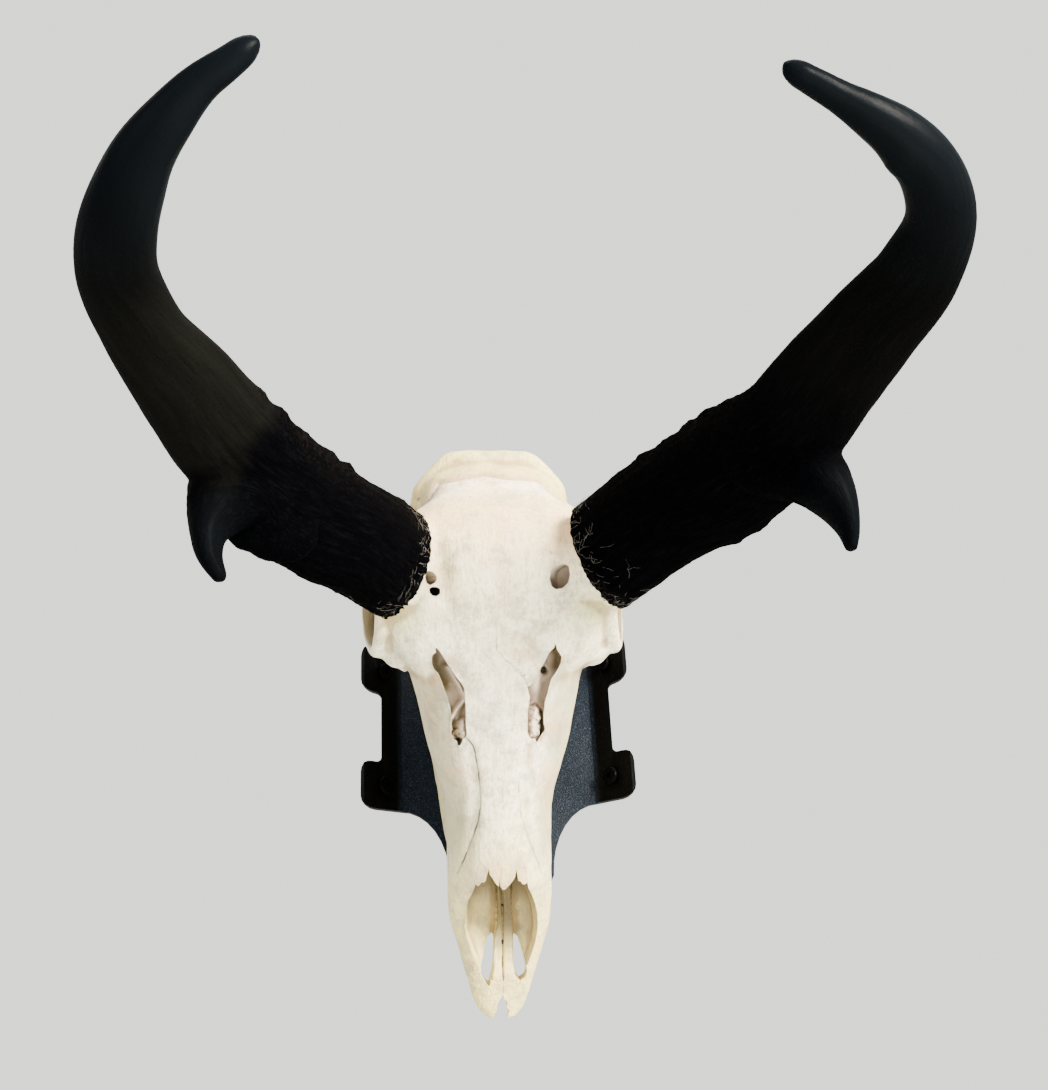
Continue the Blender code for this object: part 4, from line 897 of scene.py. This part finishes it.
# Horn keratin: near black, longitudinal fibres about 0.5 mm apart, dull brown-black where it is rough and a
# blue-black polish at the tips
keratin = new_finish("horn keratin", IOR=1.54, Specular_IOR_Level=0.004, Coat_Roughness=0.32,
                     Coat_Tint=linear("#9db4e6"), Coat_IOR=1.5)
grain = add_node(keratin, "ShaderNodeAttribute", {}, attribute_name="grain").outputs["Vector"]
where = add_node(keratin, "ShaderNodeTexCoord", {}).outputs["Object"]
polish, ridge_weight, middle_weight, rim_weight = (
    add_node(keratin, "ShaderNodeAttribute", {}, attribute_name=name).outputs["Fac"]
    for name in ("polish", "ridge", "middle", "rim"))
fibres, bands, crumbs = (
    add_node(keratin, "ShaderNodeTexNoise", {"Vector": vector, "Scale": scale, "Detail": detail,
                                             "Roughness": rough}).outputs["Fac"]
    for vector, scale, detail, rough in ((grain, 900.0, 6.0, 0.7), (grain, 200.0, 5.0, 0.5),
                                         (where, 650.0, 5.0, 0.75)))
fibre_mask, crumb_mask = (
    add_node(keratin, "ShaderNodeMapRange", {"Value": source, "From Min": 0.5, "From Max": high}).outputs[0]
    for source, high in ((fibres, 0.8), (crumbs, 0.78)))
dusty = add_node(keratin, "ShaderNodeMath", {0: rim_weight, 1: crumb_mask}, operation="MULTIPLY").outputs[0]
black, warm, lumpy = (
    add_node(keratin, "ShaderNodeMix", {0: share, 6: linear(dark), 7: linear(light)},
             data_type="RGBA").outputs[2]
    for share, dark, light in ((fibre_mask, "#010102", "#060707"), (bands, "#030303", "#0d0d0a"),
                               (crumb_mask, "#020202", "#1e1915")))
for share, layer in ((middle_weight, warm), (ridge_weight, lumpy), (dusty, linear("#2b2926")),
                     (polish, linear("#050709"))):
    black = add_node(keratin, "ShaderNodeMix", {0: share, 6: black, 7: layer}, data_type="RGBA").outputs[2]
gloss = add_node(keratin, "ShaderNodeMapRange", {"Value": polish, "To Min": 0.82, "To Max": 0.28}).outputs[0]
gloss = add_node(keratin, "ShaderNodeMath", {0: middle_weight, 1: -0.22, 2: gloss},
                 operation="MULTIPLY_ADD").outputs[0]
depth = add_node(keratin, "ShaderNodeMath", {0: crumbs, 1: 0.6, 2: fibres},
                 operation="MULTIPLY_ADD").outputs[0]
soften = add_node(keratin, "ShaderNodeMapRange", {"Value": polish, "To Min": 0.9, "To Max": 0.12}).outputs[0]
relief = add_node(keratin, "ShaderNodeBump", {"Height": depth, "Strength": soften, "Distance": 0.0010})
shine = add_node(keratin, "ShaderNodeMapRange", {"Value": polish, "To Max": 0.008}).outputs[0]
to_shader(keratin, Base_Color=black, Roughness=gloss, Normal=relief.outputs[0], Coat_Weight=shine)

# Dry hair stubs that stay where the skin met the rim: greyish, matt, paler or darker hair by hair
hair_white = new_finish("dry pale hair", Roughness=0.6)
where = add_node(hair_white, "ShaderNodeTexCoord", {}).outputs["Object"]
tint = add_node(hair_white, "ShaderNodeTexNoise", {"Vector": where, "Scale": 300.0}).outputs["Fac"]
tint = add_node(hair_white, "ShaderNodeMix", {0: tint, 6: linear("#373532"), 7: linear("#858078")},
                data_type="RGBA").outputs[2]
to_shader(hair_white, Base_Color=tint)
HAIR_COUNT = 240
HAIR_RADIUS = 0.045
HAIR_LENGTH = (2.0, 10.0)
HAIR_LIFT = (0.2, 1.6)
HAIR_STEPS = 5
HAIR_SPREAD = 9
HAIR_LIMIT = 70


def rim_hairs(name, sheath, rings, run, seed):
    """Short curved hairs that lie on the sheath near its rim."""
    dice = random.Random(seed)
    skin = BVHTree.FromObject(sheath, bpy.context.evaluated_depsgraph_get())
    points = []
    faces = []
    sides = len(rings[0])
    for _ in range(HAIR_COUNT):
        distance = min(abs(dice.gauss(0, HAIR_SPREAD)) + 0.8, HAIR_LIMIT)
        ring = rings[int(np.searchsorted(run, distance))]
        spot = ring[dice.randrange(sides)].copy()
        out = Vector([dice.gauss(0, 1) for _ in range(3)]).normalized()
        bend = Vector([dice.gauss(0, 1) for _ in range(3)]).normalized()
        length = dice.uniform(*HAIR_LENGTH) * MM
        lift = dice.uniform(*HAIR_LIFT)
        path = []
        for k in range(HAIR_STEPS + 1):
            t = k / HAIR_STEPS
            wish = spot + (out * t + bend * 0.6 * t * t) * length
            touch, normal, _, _ = skin.find_nearest(wish)
            path.append(touch + normal * (HAIR_RADIUS + lift * t) * MM)
        start = len(points)
        for k, centre in enumerate(path):
            along = (path[min(k + 1, HAIR_STEPS)] - path[max(k - 1, 0)]).normalized()
            one = along.orthogonal().normalized()
            two = along.cross(one)
            radius = HAIR_RADIUS * (1.0 - 0.6 * k / HAIR_STEPS) * MM
            for j in range(3):
                turn = 2 * math.pi * j / 3
                points.append(centre + one * radius * math.cos(turn) + two * radius * math.sin(turn))
        for k in range(HAIR_STEPS):
            low = start + 3 * k
            for j in range(3):
                faces.append((low + j, low + (j + 1) % 3, low + 3 + (j + 1) % 3, low + 3 + j))
        faces.append((start + 2, start + 1, start))
        faces.append((len(points) - 3, len(points) - 2, len(points) - 1))
    mesh = bpy.data.meshes.new(name)
    mesh.from_pydata(points, [], faces)
    item = bpy.data.objects.new(name, mesh)
    bpy.context.scene.collection.objects.link(item)
    mesh.materials.append(hair_white)
    return item


# The left and the right horn, with where the brown middle starts, how brown it is, and a drying crack
for word, side, seed, *shape in (
        ("left", -1, 11, LEFT_HORN, LEFT_PRONG, LEFT_LUMPS, LEFT_WEBS,
         (138, 158), 1.0, ((-126, 176), (-121, 184))),
        ("right", 1, 23, RIGHT_HORN, RIGHT_PRONG, RIGHT_LUMPS, (),
         (140, 190), 0.45, ((140, 190), (128, 186), (116, 187)))):
    sheath, rings, run = horn_sheath("horn_" + word, side, *shape)
    hairs = rim_hairs("rim_hairs_" + word, sheath, rings, run, seed)
    sheath.data.materials.append(keratin)
    finish_item(sheath, "horn_sheath_" + word)
    finish_item(hairs)


# Twelve upper cheek teeth: tall ribbed crowns of stained enamel with worn crescents, each in its own socket.

CHEEK_TEETH = (("premolar_2", 7.0, 6.5, 21.8, -11.5), ("premolar_3", 8.0, 7.5, 23.0, -13.5),
               ("premolar_4", 8.5, 8.5, 24.3, -14.0), ("molar_1", 12.0, 9.5, 26.0, -15.0),
               ("molar_2", 15.0, 10.0, 27.5, -15.0), ("molar_3", 18.0, 9.5, 28.2, -14.0))
TOOTH_ROW_FRONT = 195.0
TOOTH_ROOT_LEVEL = -1.0
TOOTH_SPACING = 0.5
TOOTH_SHARE = 0.98

# Tooth enamel: cream with brown tartar in the folds, hard and fairly glossy
enamel = new_finish("stained enamel", IOR=1.62, Coat_Weight=0.2, Coat_Roughness=0.2)
where = add_node(enamel, "ShaderNodeTexCoord", {}).outputs["Object"]
stains = add_node(enamel, "ShaderNodeTexNoise",
                  {"Vector": where, "Scale": 260.0, "Detail": 5.0}).outputs["Fac"]
fold = add_node(enamel, "ShaderNodeAttribute", {}, attribute_name="fold").outputs["Fac"]
tartar = add_node(enamel, "ShaderNodeMapRange",
                  {"Value": stains, "From Min": 0.4, "From Max": 0.7}).outputs[0]
tint = linear("#d8ccb0")
for share, layer in ((tartar, "#a58a5e"), (fold, "#4b3823")):
    tint = add_node(enamel, "ShaderNodeMix", {0: share, 6: tint, 7: linear(layer)},
                    data_type="RGBA").outputs[2]
relief = add_node(enamel, "ShaderNodeBump", {"Height": stains, "Strength": 0.3, "Distance": 0.0004})
to_shader(enamel, Base_Color=tint, Normal=relief.outputs[0],
          Roughness=add_node(enamel, "ShaderNodeMapRange", {"Value": tartar, "To Min": 0.25,
                                                            "To Max": 0.5}).outputs[0])


def cheek_tooth(name, side, s, length, width, out, tip, lobes):
    """A block cut finely, then ribbed down its sides and dished on its worn face."""
    bpy.ops.object.select_all(action="DESELECT")
    bpy.ops.mesh.primitive_cube_add(size=2)
    item = bpy.context.object
    item.name = name
    bpy.ops.object.mode_set(mode="EDIT")
    bpy.ops.mesh.select_all(action="SELECT")
    bpy.ops.mesh.subdivide(number_cuts=17)
    bpy.ops.object.mode_set(mode="OBJECT")
    fold = []
    middle = (TOOTH_ROOT_LEVEL + tip) / 2
    half = (TOOTH_ROOT_LEVEL - tip) / 2
    for vertex in item.data.vertices:
        a, b, c = vertex.co
        shrink = 1 / (abs(a) ** 6 + abs(c) ** 6) ** (1 / 6) if max(abs(a), abs(c)) > 0.01 else 1
        shrink = 1 + (shrink - 1) * max(abs(a), abs(c)) ** 4
        wave = math.cos(math.pi * lobes * c)
        rib = 1 - 0.07 * (1 - wave) / 2 * abs(a) ** 4
        worn = max(0.0, b) ** 12
        dish = -0.9 * abs(math.sin(math.pi * lobes * (c + 1) / 2)) * math.exp(-(a / 0.45) ** 2)
        crest = 0.5 * math.exp(-((abs(a) - 0.75) / 0.16) ** 2)
        fold.append(min(1.0, worn * -dish * 1.1 + (0.5 * (1 - wave) / 2 * abs(a) ** 8 if b < 0.9 else 0)))
        level = middle - half * b - worn * (dish + crest - 0.5)
        vertex.co = bone(side * (out + a * shrink * rib * width / 2 * TOOTH_SHARE),
                         s + c * shrink * length / 2 * TOOTH_SHARE, level)
    paint(item.data, "fold", np.array(fold))
    work = bmesh.new()
    work.from_mesh(item.data)
    bmesh.ops.recalc_face_normals(work, faces=work.faces)
    work.to_mesh(item.data)
    work.free()
    item.data.materials.append(enamel)
    finish_item(item, name.replace("_crown", ""))


for side, word in ((-1, "left"), (1, "right")):
    front_edge = TOOTH_ROW_FRONT
    for name, length, width, out, tip in CHEEK_TEETH:
        lobes = 1 if name.startswith("premolar") else (3 if name == "molar_3" else 2)
        cheek_tooth("%s_%s_crown" % (word, name), side, front_edge - length / 2, length, width, out, tip,
                    lobes)
        front_edge -= length + TOOTH_SPACING


# The corner bracket is one 3 mm steel sheet, laser cut and folded at 45 degrees twice, with eased edges and
# a fine-textured black powder coat. The hanger arm is a bent flat bar with the same coat.

def dressed(name, node, width, segments=2, angle=30):
    """The plain form of a made part, with its loose faces joined and its edges eased."""
    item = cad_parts[node].copy()
    item.data = item.data.copy()
    item.parent = None
    item.name = name
    bpy.context.scene.collection.objects.link(item)
    item.matrix_world = Matrix.Identity(4)
    work = bmesh.new()
    work.from_mesh(item.data)
    bmesh.ops.remove_doubles(work, verts=work.verts, dist=0.00001)
    bmesh.ops.dissolve_limit(work, angle_limit=math.radians(1), verts=work.verts, edges=work.edges)
    work.to_mesh(item.data)
    work.free()
    item.data.materials.clear()
    modify(item, "BEVEL", width=width * MM, segments=segments, limit_method="ANGLE",
           angle_limit=math.radians(angle), harden_normals=False)
    return item


# Powder coat: satin black with a grit of about 0.4 mm that sparkles finely. The front plate is slate grey,
# and the flanges, which face aside, are painted near black as shade
powder_coat = new_finish("black powder coat", Specular_IOR_Level=0.04)
where = add_node(powder_coat, "ShaderNodeTexCoord", {}).outputs["Object"]
grit = add_node(powder_coat, "ShaderNodeTexNoise",
                {"Vector": where, "Scale": 2200.0, "Detail": 3.0}).outputs["Fac"]
cells = add_node(powder_coat, "ShaderNodeTexVoronoi", {"Vector": where, "Scale": 1500.0}).outputs["Distance"]
aside = add_node(powder_coat, "ShaderNodeSeparateXYZ", {"Vector": where}).outputs["X"]
aside = add_node(powder_coat, "ShaderNodeMath", {0: aside}, operation="ABSOLUTE").outputs[0]
# Painted shade: beyond the folds, on the flanges, the coat is made near black
fleck, flange_shade = (
    add_node(powder_coat, "ShaderNodeMapRange",
             {"Value": source, "From Min": low, "From Max": high}).outputs[0]
    for source, low, high in ((grit, 0.55, 0.75), (aside, 0.054, 0.056)))
coat = linear("#080c11")
for share, layer in ((fleck, "#2b3643"), (flange_shade, "#010101")):
    coat = add_node(powder_coat, "ShaderNodeMix", {0: share, 6: coat, 7: linear(layer)},
                    data_type="RGBA").outputs[2]
relief = add_node(powder_coat, "ShaderNodeBump", {"Height": cells, "Strength": 0.5, "Distance": 0.0004})
to_shader(powder_coat, Base_Color=coat, Normal=relief.outputs[0],
          Roughness=add_node(powder_coat, "ShaderNodeMapRange", {"Value": grit, "To Min": 0.35,
                                                                 "To Max": 0.6}).outputs[0])

bracket = dressed("bracket_plate", "corner_bracket", 0.5)
bracket.data.materials.append(powder_coat)
finish_item(bracket, "corner_bracket", hang=False)
arm = dressed("hook_arm", "hanger_arm", 0.6)
arm.data.materials.append(powder_coat)
finish_item(arm, "hanger_arm", hang=False)


# The rubber sleeve is a moulded cap pushed over the hook's end, so that steel doesn't bear on bone.

# Moulded rubber: matt black with an uneven grey bloom
moulded_rubber = new_finish("moulded black rubber", IOR=1.52)
where = add_node(moulded_rubber, "ShaderNodeTexCoord", {}).outputs["Object"]
bloom = add_node(moulded_rubber, "ShaderNodeTexNoise",
                 {"Vector": where, "Scale": 400.0, "Detail": 4.0}).outputs["Fac"]
to_shader(moulded_rubber,
          Base_Color=add_node(moulded_rubber, "ShaderNodeMix",
                              {0: bloom, 6: linear("#0e0e0f"), 7: linear("#262627")},
                              data_type="RGBA").outputs[2],
          Roughness=add_node(moulded_rubber, "ShaderNodeMapRange", {"Value": bloom, "To Min": 0.65,
                                                                    "To Max": 0.9}).outputs[0])
sleeve = dressed("sleeve_cap", "rubber_sleeve", 0.8, 3, 50)
sleeve.data.materials.append(moulded_rubber)
finish_item(sleeve, "rubber_sleeve", hang=False)


# Two hexagon bolts and nuts hold the arm to the plate. They are turned and rolled steel, blackened in hot
# oil.

# Blackened steel: an oily black oxide that hardly shines, a little uneven where it has worn
blackened_steel = new_finish("blackened steel", Metallic=0.1, Specular_IOR_Level=0.02)
where = add_node(blackened_steel, "ShaderNodeTexCoord", {}).outputs["Object"]
wear = add_node(blackened_steel, "ShaderNodeTexNoise",
                {"Vector": where, "Scale": 900.0, "Detail": 4.0}).outputs["Fac"]
to_shader(blackened_steel,
          Base_Color=add_node(blackened_steel, "ShaderNodeMix",
                              {0: wear, 6: linear("#010101"), 7: linear("#030303")},
                              data_type="RGBA").outputs[2],
          Roughness=add_node(blackened_steel, "ShaderNodeMapRange", {"Value": wear, "To Min": 0.25,
                                                                     "To Max": 0.5}).outputs[0])
for height in ("upper", "lower"):
    for kind, name in (("bolt", "hex_bolt_"), ("nut", "hex_nut_")):
        item = dressed(name + height, "arm_%s_%s" % (kind, height), 0.35, 2, 40)
        item.data.materials.append(blackened_steel)
        finish_item(item, "arm_%s_%s" % (kind, height), hang=False)


# Four wall screws pin the flanges: black button heads with a six-sided socket, seen end on.

SHEET = 3.0
SCREW_PLACE = (64.4, 10.0, 32.7)
HEAD_RADIUS = 4.8
HEAD_HEIGHT = 2.6
HEAD_EDGE = 1.5
HEAD_LEVEL = SHEET + 0.3
SOCKET_RADIUS = 1.75
SOCKET_DEPTH = 1.5
SHANK_RADIUS = 2.2
SHANK_LENGTH = 3.6
SHANK_MIDDLE = 2.1
for side, word in ((-1, "left"), (1, "right")):
    for level, height in ((1, "upper"), (-1, "lower")):
        off_wall = Vector((-side, -1, 0)).normalized()
        spot = Vector((side * SCREW_PLACE[0], -SCREW_PLACE[1], level * SCREW_PLACE[2])) * MM
        seat = Matrix.Translation(spot) @ off_wall.to_track_quat("Z", "Y").to_matrix().to_4x4()
        bpy.ops.object.select_all(action="DESELECT")
        bpy.ops.mesh.primitive_cylinder_add(vertices=36, radius=HEAD_RADIUS * MM, depth=HEAD_HEIGHT * MM,
                                            location=(0, 0, (HEAD_LEVEL + HEAD_HEIGHT / 2) * MM))
        screw = bpy.context.object
        screw.name = "button_screw_%s_%s" % (height, word)
        bpy.ops.object.transform_apply(location=True)
        modify(screw, "BEVEL", width=HEAD_EDGE * MM, segments=5, limit_method="ANGLE", profile=0.6)
        bpy.ops.mesh.primitive_cylinder_add(vertices=6, radius=SOCKET_RADIUS * MM,
                                            depth=2 * SOCKET_DEPTH * MM,
                                            location=(0, 0, (HEAD_LEVEL + HEAD_HEIGHT) * MM))
        socket = bpy.context.object
        modify(screw, "BOOLEAN", operation="DIFFERENCE", solver="EXACT", object=socket)
        bpy.data.objects.remove(socket)
        bpy.ops.mesh.primitive_cylinder_add(vertices=24, radius=SHANK_RADIUS * MM, depth=SHANK_LENGTH * MM,
                                            location=(0, 0, SHANK_MIDDLE * MM))
        shank = bpy.context.object
        modify(screw, "BOOLEAN", operation="UNION", solver="EXACT", object=shank)
        bpy.data.objects.remove(shank)
        screw.data.transform(seat)
        screw.data.materials.append(blackened_steel)
        finish_item(screw, "wall_screw_%s_%s" % (height, word), hang=False)


# A plain pale floor well below, a pale surround, soft lights, and the camera where the picture was taken
# from.

bpy.ops.object.select_all(action="DESELECT")
bpy.ops.mesh.primitive_plane_add(size=6, location=(0, 0, -0.85))
ground = bpy.context.object
ground.name = "floor"
pale_floor = new_finish("pale floor", Base_Color=linear("#dcdcd8"), Roughness=0.9)
ground.data.materials.append(pale_floor)

world = bpy.data.worlds.new("surround")
bpy.context.scene.world = world
world.use_nodes = True
around = world.node_tree.nodes.new("ShaderNodeTexCoord").outputs["Generated"]
split = world.node_tree.nodes.new("ShaderNodeSeparateXYZ")
world.node_tree.links.new(around, split.inputs["Vector"])
fade = world.node_tree.nodes.new("ShaderNodeMapRange")
for key, value in (("From Min", -0.2), ("From Max", 0.4), ("To Min", 0.8), ("To Max", 2.05)):
    fade.inputs[key].default_value = value
world.node_tree.links.new(split.outputs["Y"], fade.inputs["Value"])
world.node_tree.nodes["Background"].inputs["Color"].default_value = linear("#e6e7e3")
world.node_tree.links.new(fade.outputs[0], world.node_tree.nodes["Background"].inputs["Strength"])


def soft_light(name, spot, target, size, power, tint):
    data = bpy.data.lights.new(name, "AREA")
    data.shape = "RECTANGLE"
    data.size, data.size_y = size
    data.energy = power
    data.color = linear(tint)[:3]
    lamp = bpy.data.objects.new(name, data)
    lamp.location = spot
    lamp.rotation_euler = (Vector(target) - Vector(spot)).to_track_quat("-Z", "Y").to_euler()
    bpy.context.scene.collection.objects.link(lamp)


soft_light("window", (1.3, -1.45, 0.55), (0, -0.15, 0), (0.8, 0.8), 390, "#fff9ee")
soft_light("left_fill", (-1.5, -1.3, 0.1), (0, -0.15, 0), (1.0, 1.4), 22, "#eef3ff")
soft_light("ceiling", (0, -0.5, 1.6), (0, -0.2, 0), (1.4, 1.0), 35, "#ffffff")

PITCH, YAW, ROLL = math.radians(25), math.radians(1.65), math.radians(2.9)
CAMERA_SPOT = (-0.001, -0.760, -0.240)
SENSOR = 36.0
FOCAL_SHARE = 1400 / 1090
ahead = Vector((math.sin(YAW) * math.cos(PITCH), math.cos(YAW) * math.cos(PITCH), math.sin(PITCH)))
right = ahead.cross(Vector((0, 0, 1))).normalized()
above = right.cross(ahead)
right, above = (math.cos(ROLL) * right - math.sin(ROLL) * above,
                math.sin(ROLL) * right + math.cos(ROLL) * above)
stand = Matrix((right, above, -ahead)).transposed().to_4x4()
stand.translation = Vector(CAMERA_SPOT)
lens = bpy.data.cameras.new("camera")
lens.sensor_fit = "VERTICAL"
lens.sensor_height = SENSOR
lens.lens = SENSOR * FOCAL_SHARE
camera = bpy.data.objects.new("camera", lens)
camera.matrix_world = stand
bpy.context.scene.collection.objects.link(camera)
bpy.context.scene.camera = camera
